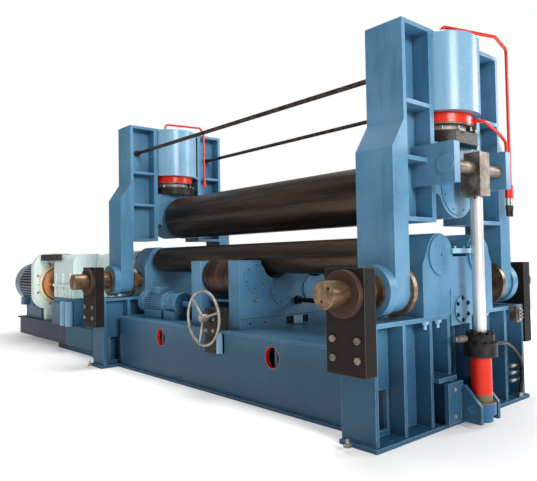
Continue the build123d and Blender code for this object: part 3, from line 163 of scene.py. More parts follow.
class Shop:
    """Builds the nodes of one material."""

    def __init__(self, name):
        self.material = bpy.data.materials.new(name)
        self.material.use_nodes = True
        self.tree = self.material.node_tree
        self.bsdf = self.tree.nodes["Principled BSDF"]
        self.places = self.node("ShaderNodeTexCoord", {}, {}, "Object")

    def node(self, kind, settings, sockets, out=0):
        """Any node: its settings come first, and then the values or links of its sockets."""
        made = self.tree.nodes.new(kind)
        for key, value in settings.items():
            setattr(made, key, value)
        for key, value in sockets.items():
            if isinstance(value, Wire):
                self.tree.links.new(value.socket, made.inputs[key])
            else:
                made.inputs[key].default_value = value
        return Wire(self, made.outputs[out])

    def math(self, operation, first, second):
        """One Math node, from two numbers or links."""
        return self.node("ShaderNodeMath", {"operation": operation}, {0: first, 1: second})

    def step(self, value, low, high):
        """A soft step from 0 at low to 1 at high."""
        settings = {"interpolation_type": "SMOOTHSTEP"}
        sockets = {"Value": value, "From Min": low, "From Max": high}
        return self.node("ShaderNodeMapRange", settings, sockets)

    def mix(self, share, first, second):
        """A blend of two colours."""
        settings = {"data_type": "RGBA"}
        made = self.node("ShaderNodeMix", settings, {"Factor": share}, "Result")
        mixer = made.socket.node
        colour_in = [s for s in mixer.inputs if s.type == "RGBA"]
        for socket, value in zip(colour_in, (first, second)):
            if isinstance(value, Wire):
                self.tree.links.new(value.socket, socket)
            else:
                socket.default_value = value
        return Wire(self, [s for s in mixer.outputs if s.type == "RGBA"][0])

    def noise(self, scale, detail=4.0, stretch=(1.0, 1.0, 1.0), roughness=0.55):
        """Clouds of 0 to 1. A stretch below 1 draws them out along that axis."""
        mapped = self.node("ShaderNodeMapping", {}, {"Vector": self.places, "Scale": stretch})
        sockets = {"Vector": mapped, "Scale": scale, "Detail": detail, "Roughness": roughness}
        return self.node("ShaderNodeTexNoise", {}, sockets, "Fac")

    def axis(self, letter):
        """A place along X, Y or Z, in metres."""
        return self.node("ShaderNodeSeparateXYZ", {}, {"Vector": self.places}, letter)

    def band(self, letter, low, high):
        """1 between two places along an axis and 0 outside."""
        place = self.axis(letter)
        from_low = self.step(place, low - ZONE_EDGE, low + ZONE_EDGE)
        return from_low * (1.0 - self.step(place, high - ZONE_EDGE, high + ZONE_EDGE))

    def edges(self, radius):
        """1 on sharp edges and 0 on flats, from how far a rounded normal leans from the real one."""
        soft = self.node("ShaderNodeBevel", {"samples": 4}, {"Radius": radius})
        true = self.node("ShaderNodeNewGeometry", {}, {}, "Normal")
        settings = {"operation": "DOT_PRODUCT"}
        lean = self.node("ShaderNodeVectorMath", settings, {0: soft, 1: true}, "Value")
        return self.step(lean, EDGE_FLAT, EDGE_SHARP)

    def crevices(self, distance):
        """1 in corners and 0 in the open."""
        open_sky = self.node("ShaderNodeAmbientOcclusion", {"samples": 6}, {"Distance": distance}, "AO")
        return 1.0 - open_sky

    def finish(self, colour, rough, metal=0.0, bump=None, bump_height=0.0, coat=0.0):
        """Feeds the shader and returns the material."""
        for key, value in (("Base Color", colour), ("Roughness", rough), ("Metallic", metal)):
            if isinstance(value, Wire):
                self.tree.links.new(value.socket, self.bsdf.inputs[key])
            else:
                self.bsdf.inputs[key].default_value = value
        self.bsdf.inputs["Specular IOR Level"].default_value = SPECULAR
        self.bsdf.inputs["Coat Weight"].default_value = coat
        self.bsdf.inputs["Coat Roughness"].default_value = COAT_ROUGHNESS
        if bump is not None:
            sockets = {"Strength": BUMP_STRENGTH, "Distance": bump_height, "Height": bump}
            lift = self.node("ShaderNodeBump", {}, sockets)
            self.tree.links.new(lift.socket, self.bsdf.inputs["Normal"])
        return self.material


print("workbench tools:", [name for name in vars(Shop) if not name.startswith("__")])

# %% [markdown]
# ## Machine paint
# The weldments are brushed with a mid blue enamel. On the real machine the paint is knocked on its
# edges and carries faint runs where it was laid on. The edges are lightened further as a painted
# highlight, and the paint is darker near the floor and in corners as painted shade. One function makes
# every paint on the machine from its own colours.

# %% The paint function
# The corner colour and reach and the floor band paint shade into corners and near the floor; the edge
# radius sets the lighter edges, which are partly wear and partly a painted highlight.
CORNER_SHADE = (24, 30, 38)
CORNER_REACH, EDGE_WEAR_AND_HIGHLIGHT_RADIUS = 0.10, 0.009
FLOOR_SHADE_LOW, FLOOR_SHADE_HIGH = 0.35, 0.90
CORNER_LOW, CORNER_HIGH = 0.25, 0.95
BRUSH_GRAIN, BRUSH_HEIGHT, ENAMEL_COAT = 140.0, 0.0006, 0.06


def paint(name, fresh, worn, grime_and_shade, gloss=0.38, floor_shade=None, zones=(), stain=None, stain_share=0.0):
    """Enamel with lighter edges (knocked and a painted highlight), painted shade in corners and faint
    runs.

    floor_shade is the painted shade it takes near the floor. stain is the tone of its drips, and a higher
    stain_share spreads them. zones lists (axis, low, high, colour) of bands in another colour.
    """
    shop = Shop(name)
    cloud = shop.noise(1.7, 5.0)
    mottle = shop.noise(26.0, 3.0)
    runs = shop.noise(9.0, 3.0, stretch=(1.0, 1.0, 0.10))
    shade = shop.mix(shop.step(cloud, 0.35, 0.70) * 0.30, linear(fresh), linear(worn))
    shade = shop.mix(shop.step(runs, 0.52, 0.75) * 0.22, shade, linear(grime_and_shade))
    shade = shop.mix(shop.step(mottle, 0.55, 0.80) * 0.10, shade, linear(worn))
    # Painted shade: the paint darkens towards the floor.
    if floor_shade:
        near_floor = 1.0 - shop.step(shop.axis("Z"), FLOOR_SHADE_LOW, FLOOR_SHADE_HIGH)
        shade = shop.mix(near_floor * 0.85, shade, linear(floor_shade))
    if stain:
        spots = shop.noise(5.5, 6.0, stretch=(1.0, 1.0, 0.45), roughness=0.65)
        shade = shop.mix(shop.step(spots, 0.58 - stain_share, 0.70), shade, linear(stain))
    # Painted shade: the corners darken, from the occlusion mask.
    corner = shop.crevices(CORNER_REACH) * (0.75 + mottle * 0.5)
    shade = shop.mix(shop.step(corner, CORNER_LOW, CORNER_HIGH) * 0.75, shade, linear(grime_and_shade))
    # Lighter edges: knocked paint and a painted highlight.
    knocks_and_highlights = shop.edges(EDGE_WEAR_AND_HIGHLIGHT_RADIUS) * shop.step(mottle, 0.25, 0.60)
    shade = shop.mix(knocks_and_highlights * 0.65, shade, linear(worn))
    # In a zone of another colour the corners still take painted shade.
    for letter, low, high, colour in zones:
        corner_shade = shop.step(corner, CORNER_LOW, CORNER_HIGH) * 0.55
        zone_shade = shop.mix(corner_shade, linear(colour), linear(CORNER_SHADE))
        shade = shop.mix(shop.band(letter, low, high), shade, zone_shade)
    rough = gloss + mottle * 0.12 + corner * 0.25
    brushed = shop.noise(BRUSH_GRAIN, 2.0)
    return shop.finish(shade, rough, bump=brushed, bump_height=BRUSH_HEIGHT, coat=ENAMEL_COAT)


print("the paint darkens below", FLOOR_SHADE_HIGH, "m")

# %% The paints
# The second blue is painted shade for the paint near the floor.
BLUE, BLUE_FLOOR_SHADE, BROWN_STEEL = (66, 116, 148), (28, 66, 92), (112, 92, 76)
RED, RED_WORN, RED_GRIME_AND_SHADE = (206, 32, 14), (232, 84, 60), (104, 12, 8)
GREY, GREY_WORN, GREY_GRIME_AND_SHADE = (122, 138, 152), (172, 182, 190), (34, 40, 46)
FAR = 9.0
BASE_STEP_X, GEAR_LINE_Z = -3.562, 0.735
BARREL_FOOT_Z, BARREL_PAINT_Z = 0.172, 0.235
MOTOR_FINS_X = (-5.300, -4.600)

blue = paint("blue_paint", BLUE, (134, 178, 206), (18, 46, 68), floor_shade=BLUE_FLOOR_SHADE)
sky = paint("cylinder_paint", (116, 156, 182), (156, 186, 206), (52, 92, 120), gloss=0.20)
light_blue = paint("light_blue_paint", (128, 172, 200), (170, 202, 222), (40, 76, 100))
slate = paint(
    "slate_paint", (44, 52, 72), (80, 86, 104), (20, 18, 28), gloss=0.5,
    zones=[("X", BASE_STEP_X, 0.0, (38, 86, 112))],
)
pale = paint(
    "pale_paint", (212, 230, 224), (238, 244, 240), (104, 124, 122),
    stain=(168, 116, 66), stain_share=-0.04,
)
gear_paint = paint(
    "gearbox_paint", (206, 226, 224), (238, 244, 240), (96, 120, 124),
    stain=(150, 120, 84), stain_share=-0.06, zones=[("Z", 0.0, GEAR_LINE_Z, (62, 112, 142))],
)
red = paint("red_paint", RED, RED_WORN, RED_GRIME_AND_SHADE, gloss=0.16)
barrel_paint = paint(
    "barrel_paint", RED, RED_WORN, RED_GRIME_AND_SHADE, gloss=0.24,
    zones=[
        ("Z", BARREL_FOOT_Z, BARREL_PAINT_Z, BROWN_STEEL),
        ("Z", -FAR, BARREL_FOOT_Z, (44, 92, 128)),
    ],
)
orange = paint("orange_paint", (214, 134, 84), (236, 184, 132), (110, 58, 34), gloss=0.55)
cream = paint(
    "cream_paint", (236, 220, 172), (246, 238, 210), (134, 96, 52),
    stain=(186, 118, 52), stain_share=0.02,
)
motor_paint = paint("grey_blue_paint", GREY, GREY_WORN, GREY_GRIME_AND_SHADE, gloss=0.42)
# Along the fins the housing is dark: painted shade in the gaps between the fins.
motor_body = paint(
    "motor_body_paint", GREY, GREY_WORN, GREY_GRIME_AND_SHADE, gloss=0.42,
    zones=[("X", *MOTOR_FINS_X, (34, 40, 50))],
)
print("paints:", len(bpy.data.materials))

# %% [markdown]
# ## Bare steel
# The rolls are forged steel, brown-black from oil and mill scale, with lines drawn out along their
# length that are partly a painted reflection. The guide shafts are oiled and look bronze, the hydraulic
# rods are chromed, and small machined parts stay grey. One function makes all of them: a base and a
# second colour, and how far the clouds are drawn out. Their corners are darkened as painted shade.

# %% The steel function
GRAIN, GRAIN_HEIGHT = 90.0, 0.0003
STEEL_SHADE_REACH, STEEL_CORNER_SHADE = 0.06, (16, 14, 13)
RUBBED_RADIUS, RUBBED_STEEL = 0.006, (170, 165, 158)


def steel(
    name, base, second, shine, stretch=(1.0, 1.0, 1.0), scale=8.0, metal=0.85, rubbed=0.0, zones=(),
    ground=False,
):
    """Bare metal with drawn-out clouds of a second colour, painted shade in corners and rubbed edges.

    zones are bands of another colour, as in paint. Ground metal has no grain and an even shine.
    """
    shop = Shop(name)
    streaks = shop.noise(scale, 5.0, stretch=stretch, roughness=0.62)
    grain = shop.noise(GRAIN, 2.0, stretch=stretch)
    shade = shop.mix(shop.step(streaks, 0.36, 0.66), linear(base), linear(second))
    for letter, low, high, colour in zones:
        shade = shop.mix(shop.band(letter, low, high), shade, linear(colour))
    # Painted shade: the metal darkens in corners.
    shade = shop.mix(shop.crevices(STEEL_SHADE_REACH) * 0.7, shade, linear(STEEL_CORNER_SHADE))
    if rubbed:
        shade = shop.mix(shop.edges(RUBBED_RADIUS) * rubbed, shade, linear(RUBBED_STEEL))
    if ground:
        return shop.finish(shade, shine, metal=metal)
    rough = shine + streaks * 0.16 + grain * 0.06
    return shop.finish(shade, rough, metal=metal, bump=grain, bump_height=GRAIN_HEIGHT)


print("steel grain:", GRAIN_HEIGHT * 1000, "mm high")

# %% The metals
ALONG_X, ALONG_Y, AROUND_X = (0.06, 1.0, 1.0), (1.0, 0.3, 1.0), (1.0, 0.12, 0.12)
RING_BROWN, RING_Y = (70, 48, 38), 1.131
RAM_SHINY, RAM_SHINY_Z = (164, 158, 150), 2.1595

# The lighter second colour drawn out along X is partly a painted reflection along the rolls.
roll_steel = steel("roll_steel", (44, 35, 30), (88, 72, 60), 0.24, ALONG_X, 7.0, metal=0.7, rubbed=0.25)
support_steel = steel("worn_steel", (44, 34, 28), (92, 66, 48), 0.34, AROUND_X, 14.0, metal=0.7)
bronze = steel("bronze", (104, 82, 62), (158, 132, 106), 0.28, ALONG_Y, 10.0, metal=0.8, rubbed=0.4)
plate_steel = steel(
    "plate_steel", (10, 8, 8), (22, 16, 15), 0.58, scale=5.0, metal=0.0, rubbed=0.35,
    zones=[("Y", -FAR, -RING_Y, RING_BROWN), ("Y", RING_Y, FAR, RING_BROWN)],
)
dark_steel = steel("dark_steel", (34, 28, 26), (66, 54, 48), 0.42, scale=6.0, metal=0.25, rubbed=0.25)
# The near-white base with part diffuse is partly a painted reflection of the bright surroundings.
chromed = steel(
    "chromed_steel", (234, 234, 232), (226, 220, 214), 0.34, scale=4.0, metal=0.70, ground=True,
)
bright = steel("bright_steel", (150, 144, 136), (186, 180, 170), 0.32, scale=12.0, metal=0.7, rubbed=0.4)
pin_steel = steel("pin_steel", (104, 94, 86), (150, 138, 126), 0.36, scale=9.0, metal=0.5)
head_steel = steel("head_steel", (84, 74, 64), (146, 134, 120), 0.34, scale=9.0, metal=0.45, rubbed=0.6)
black = steel("black_fitting", (20, 19, 19), (44, 40, 38), 0.34, scale=20.0, metal=0.2)
# Near black for holes and slots: painted shade inside the openings.
hole_shade = steel("open_hole", (6, 6, 7), (14, 12, 12), 0.70, scale=20.0, metal=0.0)
# Below the gland the ram is near black: painted shade of the gap round its flange. Above it, the bare
# column is lighter steel.
ram_steel = steel(
    "ram_steel", (24, 21, 20), (50, 44, 40), 0.34, scale=10.0, metal=0.3,
    zones=[("Z", RAM_SHINY_Z, FAR, RAM_SHINY)],
)
stay_steel = steel("stay_steel", (44, 36, 34), (84, 70, 62), 0.42, scale=16.0, metal=0.5)
print("paints and metals:", len(bpy.data.materials))

# %% [markdown]
# ## Smooth rounds on the CAD meshes
# A CAD mesh arrives as loose triangles, so each triangle shades flat and a roll would look faceted. A
# small Geometry Nodes tree merges the corners, smooths the faces and then marks every edge sharper than
# the given angle. The same tree serves all nodes, as a modifier, and leaves the CAD points where they
# are.

# %% Helpers for node trees
def tree_input(tree, name, kind, default):
    """A named input of a tree, as the identifier that a modifier sets it by."""
    socket = tree.interface.new_socket(name, in_out="INPUT", socket_type=kind)
    if default is not None:
        socket.default_value = default
    return socket.identifier


def new_tree(name):
    """An empty tree with geometry going in and out."""
    tree = bpy.data.node_groups.new(name, "GeometryNodeTree")
    tree.interface.new_socket("Geometry", in_out="INPUT", socket_type="NodeSocketGeometry")
    tree.interface.new_socket("Geometry", in_out="OUTPUT", socket_type="NodeSocketGeometry")
    return tree


def chain(tree, kind, settings=None, **sockets):
    """Adds a node, sets it up and wires its sockets, by name with _ for spaces."""
    made = tree.nodes.new(kind)
    for key, value in (settings or {}).items():
        setattr(made, key, value)
    for key, value in sockets.items():
        socket = made.inputs[key.replace("_", " ")]
        if isinstance(value, bpy.types.NodeSocket):
            tree.links.new(value, socket)
        else:
            socket.default_value = value
    return made


# %% The smoothing tree
SHARP = radians(32)
SAME_PLACE = 1e-5

smooth_tree = new_tree("smooth_rounds")
tree_input(smooth_tree, "Sharp angle", "NodeSocketFloat", SHARP)
inlet = smooth_tree.nodes.new("NodeGroupInput")
loose = inlet.outputs["Geometry"]
merged = chain(smooth_tree, "GeometryNodeMergeByDistance", Geometry=loose, Distance=SAME_PLACE)
plain = chain(
    smooth_tree, "GeometryNodeRemoveAttribute", Geometry=merged.outputs[0], Name="custom_normal",
)
rounded = chain(smooth_tree, "GeometryNodeSetShadeSmooth", Geometry=plain.outputs[0], Shade_Smooth=True)
edge_angle = smooth_tree.nodes.new("GeometryNodeInputMeshEdgeAngle")
sharp = chain(smooth_tree, "FunctionNodeCompare", {"data_type": "FLOAT", "operation": "GREATER_THAN"})
smooth_tree.links.new(edge_angle.outputs["Unsigned Angle"], sharp.inputs[0])
smooth_tree.links.new(inlet.outputs["Sharp angle"], sharp.inputs[1])
creased = chain(
    smooth_tree, "GeometryNodeSetShadeSmooth", {"domain": "EDGE"},
    Geometry=rounded.outputs[0], Selection=sharp.outputs[0], Shade_Smooth=False,
)
outlet = smooth_tree.nodes.new("NodeGroupOutput")
smooth_tree.links.new(creased.outputs[0], outlet.inputs[0])
for node in nodes.values():
    node.modifiers.new("smooth", "NODES").node_group = smooth_tree
print("smoothing on", len(nodes), "nodes")

# %% [markdown]
# ## Finishes on the CAD nodes
# Every CAD node names the material slot it takes, so a table from slot to finish dresses the whole
# machine. Some pieces share a slot in the record and yet look different in the photograph, and those
# are named after it.

# %% Dress the nodes
FINISHES = {
    "blue_paint": blue, "slate_paint": slate, "pale_paint": pale, "red_paint": red,
    "orange_paint": orange, "grey_blue_paint": motor_paint, "roll_steel": roll_steel,
    "worn_steel": support_steel, "bronze": bronze, "dark_steel": dark_steel,
    "chromed_steel": chromed, "bright_steel": bright,
}
for entry in frame["record"]["subparts"]:
    mesh = nodes[entry["node"]].data
    mesh.materials.clear()
    mesh.materials.append(FINISHES[entry["material_slot"]])
SPECIAL = {
    "tilt_gland": black, "stay_rods": stay_steel, "adjusting_shaft": black, "drive_ram": ram_steel,
    "tip_ram": ram_steel, "tip_press_cylinder": sky, "drive_press_cylinder": sky, "gearbox": gear_paint,
    "motor": motor_body, "motor_stand": blue, "tilt_barrel": barrel_paint, "shaft_plates": plate_steel,
    "rod_head": head_steel, "wedge_bar": light_blue, "cross_pin": pin_steel,
}
for name, finish in SPECIAL.items():
    nodes[name].data.materials[0] = finish

# %% [markdown]
# ## Growing repeats
# Bolt heads, screws and fins repeat by the dozen, always as one small shape on a circle or in rows.
# Modelling each one by hand would be slow and uneven, so two Geometry Nodes trees grow them from a
# prototype: one puts it on a circle, turned as it goes round, and one in rows.

# %% What both trees share
def finish_tree(tree, geometry, material_socket):
    """Realises the instances, sets their finish and wires the output."""
    real = chain(tree, "GeometryNodeRealizeInstances", Geometry=geometry)
    dressed = chain(tree, "GeometryNodeSetMaterial", Geometry=real.outputs[0], Material=material_socket)
    out = tree.nodes.new("NodeGroupOutput")
    tree.links.new(dressed.outputs[0], out.inputs[0])


def repeat_tree(name, sizes, points):
    """A tree that puts the prototype on the points that another node gives."""
    tree = new_tree(name)
    ids = {"Prototype": tree_input(tree, "Prototype", "NodeSocketObject", None)}
    for size, (kind, default) in sizes.items():
        ids[size] = tree_input(tree, size, kind, default)
    ids["Finish"] = tree_input(tree, "Finish", "NodeSocketMaterial", None)
    group_in = tree.nodes.new("NodeGroupInput")
    info = chain(tree, "GeometryNodeObjectInfo", Object=group_in.outputs["Prototype"])
    places, turn_socket = points(tree, group_in)
    inst = chain(tree, "GeometryNodeInstanceOnPoints", Points=places, Instance=info.outputs["Geometry"])
    if turn_socket is not None:
        tree.links.new(turn_socket, inst.inputs["Rotation"])
    finish_tree(tree, inst.outputs[0], group_in.outputs["Finish"])
    return tree, ids


print("a tree takes a prototype, its sizes and a finish")

# %% A tree for circles and one for rows
def circle_points(tree, group_in):
    """Points on a circle, each with its turn: its index over the count, times a full turn."""
    ring = chain(
        tree, "GeometryNodeMeshCircle",
        Vertices=group_in.outputs["Count"], Radius=group_in.outputs["Radius"],
    )
    index = tree.nodes.new("GeometryNodeInputIndex")
    share = chain(tree, "ShaderNodeMath", {"operation": "DIVIDE"})
    tree.links.new(index.outputs[0], share.inputs[0])
    tree.links.new(group_in.outputs["Count"], share.inputs[1])
    turned = chain(tree, "ShaderNodeMath", {"operation": "MULTIPLY"})
    tree.links.new(share.outputs[0], turned.inputs[0])
    turned.inputs[1].default_value = 2 * pi
    euler = chain(tree, "ShaderNodeCombineXYZ", Z=turned.outputs[0])
    return ring.outputs[0], euler.outputs[0]


def row_points(tree, group_in):
    """The points of a grid, unturned."""
    grid = chain(
        tree, "GeometryNodeMeshGrid", Size_X=group_in.outputs["Width"], Size_Y=group_in.outputs["Height"],
        Vertices_X=group_in.outputs["Columns"], Vertices_Y=group_in.outputs["Rows"],
    )
    return grid.outputs[0], None


FLOAT, WHOLE = "NodeSocketFloat", "NodeSocketInt"
circle_tree = repeat_tree("on_a_circle", {"Count": (WHOLE, 6), "Radius": (FLOAT, 0.1)}, circle_points)
ROW_SIZES = {"Width": (FLOAT, 0.2), "Height": (FLOAT, 0.1), "Columns": (WHOLE, 2), "Rows": (WHOLE, 2)}
row_tree = repeat_tree("in_rows", ROW_SIZES, row_points)
print("trees:", circle_tree[0].name, row_tree[0].name)

# %% [markdown]
# ## Small solids
# A bolt head, a washer and a rim are turned or sawn from bar. Blender's own cylinder has no chamfer and
# no bore, so each of these is built from rings of corners: a list of (radius, height) pairs gives the
# whole profile.

# %% Solids from rings of corners
def plain_mesh(name, shape):
    """The shape as a mesh. The shape itself is freed."""
    mesh = bpy.data.meshes.new(name)
    shape.to_mesh(mesh)
    shape.free()
    return mesh


def bridge(shape, rings):
    """Faces between rings of corners, each joined to the next."""
    sides = len(rings[0])
    for low, high in zip(rings, rings[1:]):
        for i in range(sides):
            j = (i + 1) % sides
            shape.faces.new((low[i], low[j], high[j], high[i]))


def close_ends(shape, rings):
    """Bridges the rings and closes the first and the last."""
    bridge(shape, rings)
    shape.faces.new(rings[0][::-1])
    shape.faces.new(rings[-1])


def turned_rings(shape, profile, sides):
    """A ring of corners about Z for each (radius, height) pair."""
    turns = [2 * pi * i / sides for i in range(sides)]
    return [[shape.verts.new((r * cos(a), r * sin(a), z)) for a in turns] for r, z in profile]


def lathed(name, profile, sides):
    """A solid turned about Z."""
    shape = bmesh.new()
    close_ends(shape, turned_rings(shape, profile, sides))
    return plain_mesh(name, shape)


def hollow(name, profile, sides):
    """A ring turned about Z from the corners of its section."""
    shape = bmesh.new()
    rings = turned_rings(shape, profile, sides)
    bridge(shape, rings + rings[:1])
    return plain_mesh(name, shape)


def boxed(name, middle, size):
    """A box by its middle and its size."""
    shape = bmesh.new()
    bmesh.ops.create_cube(shape, size=1.0)
    bmesh.ops.scale(shape, vec=size, verts=shape.verts)
    bmesh.ops.translate(shape, vec=middle, verts=shape.verts)
    return plain_mesh(name, shape)


def heap(meshes):
    """One shape that holds several meshes."""
    shape = bmesh.new()
    for mesh in meshes:
        shape.from_mesh(mesh)
    return shape


print("solids so far: lathed, hollow, boxed and heaps of them")

# %% [markdown]
# ## Bolts, screws and studs
# All the sizes of a bolt head follow its width across corners, so one function makes every size of it.
# The socket screw has its recess in the profile, and a stud is a nut with a tail that stands out of it.

# %% Prototypes
CROWN_SHARE, CROWN_TOP = 0.82, 0.88
HEAD_HIGH, WASHER_THICK, WASHER_OVER = 0.36, 0.09, 1.28
TAIL_RADIUS, NUT_HIGH = 0.26, 0.45


def hex_bolt(across, washer=True):
    """A hex head with a chamfered crown, on its washer or straight on the face."""
    r, high = across / 2, across * HEAD_HIGH
    base = across * WASHER_THICK if washer else 0.0
    profile = [(r, base), (r, base + high * CROWN_SHARE), (r * CROWN_TOP, base + high)]
    head = lathed("head", profile, 6)
    if not washer:
        return head
    below = lathed("washer", [(r * WASHER_OVER, 0.0), (r * WASHER_OVER, base)], 20)
    return plain_mesh("bolt", heap((head, below)))


def socket_screw(diameter):
    """A round head with a recess for the key."""
    r, high, key = diameter / 2, diameter * 0.55, diameter * 0.26
    profile = [(r, 0.0), (r, high * 0.9), (r * 0.92, high), (key, high), (key, high * 0.35)]
    return lathed("screw", profile, 18)


def stud_nut(across, tail, washer=True):
    """A nut on a stud that stands out of it."""
    r = across * TAIL_RADIUS
    stud = lathed("tail", [(r, 0.0), (r, across * NUT_HIGH + tail)], 12)
    return plain_mesh("stud", heap((hex_bolt(across, washer), stud)))


def prototype(mesh):
    """An object for the trees to repeat, kept out of the scene."""
    return bpy.data.objects.new(mesh.name, mesh)


PROTOTYPES = {
    "plate_bolt": hex_bolt(0.050, washer=False),
    "stand_nut": stud_nut(0.052, 0.034),
    "foot_bolt": stud_nut(0.046, 0.030),
    "base_bolt": hex_bolt(0.036),
    "cover_bolt": hex_bolt(0.030),
    "small_bolt": hex_bolt(0.026),
    "flange_stud": stud_nut(0.026, 0.018, washer=False),
    "gland_screw": socket_screw(0.036),
    "cover_screw": lathed("dot", [(0.007, 0.0), (0.006, 0.003)], 10),
    "tapped_hole": lathed("hole", [(0.010, 0.0), (0.010, 0.0015)], 14),
}
PROTOTYPES = {name: prototype(mesh) for name, mesh in PROTOTYPES.items()}
print("prototypes:", sorted(PROTOTYPES))

# %% [markdown]
# ## Putting shapes on faces
# A bolt sits on a face and looks straight out of it, so a place and a way say all about it. What is put
# in place is gathered by the body that carries it and by its finish. Each such heap becomes one mesh
# later on, because one object for every bolt would be slow to move and to export.

# %% Places and heaps
FINISH_OF_GROUP = {
    "steel": (bright, "bright_steel"),
    "brown": (head_steel, "bright_steel"),
    "black": (black, "dark_steel"),
    "dark": (dark_steel, "dark_steel"),
    # The hole group is painted shade inside holes and slots.
    "hole": (hole_shade, "dark_steel"),
    "blue": (blue, "blue_paint"),
    "light": (light_blue, "blue_paint"),
    "pale": (pale, "pale_paint"),
    "cream": (cream, "pale_paint"),
    "red": (red, "red_paint"),
    "motor": (motor_paint, "grey_blue_paint"),
}
AXES = {
    "+x": (1, 0, 0), "+y": (0, 1, 0), "+z": (0, 0, 1),
    "-x": (-1, 0, 0), "-y": (0, -1, 0), "-z": (0, 0, -1),
}
X_WAY, Y_WAY = {-1: "-x", 1: "+x"}, {-1: "-y", 1: "+y"}
BOTH = (-1, 1)
gathered = {}


def facing(place, way, turn=0.0):
    """The place of a shape whose own +Z is to look one way and is turned about that way."""
    look = Vector(AXES[way])
    up = Vector((0, 0, 1)) if abs(look.z) < 0.5 else Vector((1, 0, 0))
    right = up.cross(look).normalized()
    frame_turn = Matrix((right, look.cross(right), look)).transposed().to_4x4()
    return Matrix.Translation(Vector(place)) @ frame_turn @ Matrix.Rotation(turn, 4, "Z")


def gather(body, group, mesh, at=None):
    """Keeps a copy of the mesh, in place, for the body's joined mesh of that finish."""
    copy = mesh.copy()
    if at is not None:
        copy.transform(at)
    gathered.setdefault((body, group), []).append(copy)


def single(body, group, kind, place, way):
    """One prototype on a face."""
    gather(body, group, PROTOTYPES[kind].data, facing(place, way))


print("groups:", sorted(FINISH_OF_GROUP))

# %% Circles and rows of prototypes
PIVOT_RADIUS = 0.0001


def grow(tree_and_ids, **values):
    """Runs a tree and returns what it grows as a plain mesh."""
    tree, ids = tree_and_ids
    holder = bpy.data.objects.new("holder", bpy.data.meshes.new("holder"))
    scene.collection.objects.link(holder)
    grower = holder.modifiers.new("grow", "NODES")
    grower.node_group = tree
    for key, value in values.items():
        grower[ids[key]] = value
    view = bpy.context.evaluated_depsgraph_get()
    grown = bpy.data.meshes.new_from_object(holder.evaluated_get(view))
    bpy.data.objects.remove(holder)
    return grown


def ring(body, group, kind, count, radius, place, way, turn=0.0):
    """A circle of prototypes on a face."""
    finish = FINISH_OF_GROUP[group][0]
    mesh = grow(circle_tree, Prototype=PROTOTYPES[kind], Count=count, Radius=radius, Finish=finish)
    gather(body, group, mesh, facing(place, way, turn))


def rows(body, group, kind, counts, size, place, way):
    """Columns and rows of prototypes over a width and a height of a face."""
    finish = FINISH_OF_GROUP[group][0]
    mesh = grow(
        row_tree, Prototype=PROTOTYPES[kind], Width=size[0], Height=size[1],
        Columns=counts[0], Rows=counts[1], Finish=finish,
    )
    gather(body, group, mesh, facing(place, way))


def spokes(body, group, bar, count, place, way):
    """Bars that stand out from an axis. They turn on a circle that is next to nothing wide."""
    finish = FINISH_OF_GROUP[group][0]
    mesh = grow(circle_tree, Prototype=prototype(bar), Count=count, Radius=PIVOT_RADIUS, Finish=finish)
    gather(body, group, mesh, facing(place, way))


print("fins turn about a circle of", PIVOT_RADIUS * 1000, "mm")

# %% Discs and slabs
LIP_SHARE, LIP_MAX = 0.3, 0.004


def disc(body, group, diameter, thick, place, way):
    """A round plate with a small bevel, standing on a face."""
    r = diameter / 2
    lip = min(thick * LIP_SHARE, LIP_MAX)
    mesh = lathed("disc", [(r, 0.0), (r, thick - lip), (r - lip, thick)], 48)
    gather(body, group, mesh, facing(place, way))


def slab(body, group, low, high):
    """A plate between two corners."""
    centre = [(a + b) / 2 for a, b in zip(low, high)]
    size = [abs(b - a) for a, b in zip(low, high)]
    gather(body, group, boxed("slab", centre, size))


def top_of(low, high):
    """The middle of the top of a box."""
    return ((low[0] + high[0]) / 2, (low[1] + high[1]) / 2, high[2])


print("plates get a bevel of", LIP_MAX * 1000, "mm at most")

# %% [markdown]
# ## Pipes and unions
# A pipe could be a curve with a bevel. Here it is rings of corners along a path, made like the bolts, so
# that the same function gives round pipes, hex unions with 6 sides, and later the hose.

# %% Tubes along a path
PIPE_BEND = 0.012


def tube_mesh(path, diameter, sides):
    """A round tube along a path. Its sides are carried from point to point, so that it doesn't twist."""
    shape = bmesh.new()
    rings = []
    side = None
    r = diameter / 2
    turns = [2 * pi * k / sides for k in range(sides)]
    for i, point in enumerate(path):
        ahead = (path[min(i + 1, len(path) - 1)] - path[max(i - 1, 0)]).normalized()
        side = ahead.orthogonal() if side is None else side
        side = (side - ahead * side.dot(ahead)).normalized()
        other = ahead.cross(side)
        rings.append([shape.verts.new(point + side * r * cos(a) + other * r * sin(a)) for a in turns])
    close_ends(shape, rings)
    return plain_mesh("tube", shape)


def rounded_line(points, bend):
    """The points with each corner between them rounded."""
    corners = [Vector(p) for p in points]
    path = [corners[0]]
    for before, corner, after in zip(corners, corners[1:], corners[2:]):
        reach = min(bend, (corner - before).length / 2, (after - corner).length / 2)
        start = corner + (before - corner).normalized() * reach
        end = corner + (after - corner).normalized() * reach
        for t in (0.0, 0.2, 0.4, 0.6, 0.8, 1.0):
            path.append(start * (1 - t) ** 2 + corner * 2 * t * (1 - t) + end * t * t)
    return path + [corners[-1]]


def tube(body, group, points, diameter, sides=12):
    """A pipe through points with its corners rounded, or a hex union with 6 sides."""
    gather(body, group, tube_mesh(rounded_line(points, PIPE_BEND), diameter, sides))


print("pipes bend over", PIPE_BEND * 1000, "mm")

# %% [markdown]
# ## Bolts on the base
# Where the bolts are tells what comes apart. The shaft plates are held by four, the round bearing
# covers by many small screws, and the stands by studs at their feet. The machine is the same at both
# ends and both sides, so two loops over -1 and 1 place everything by mirrored coordinates.

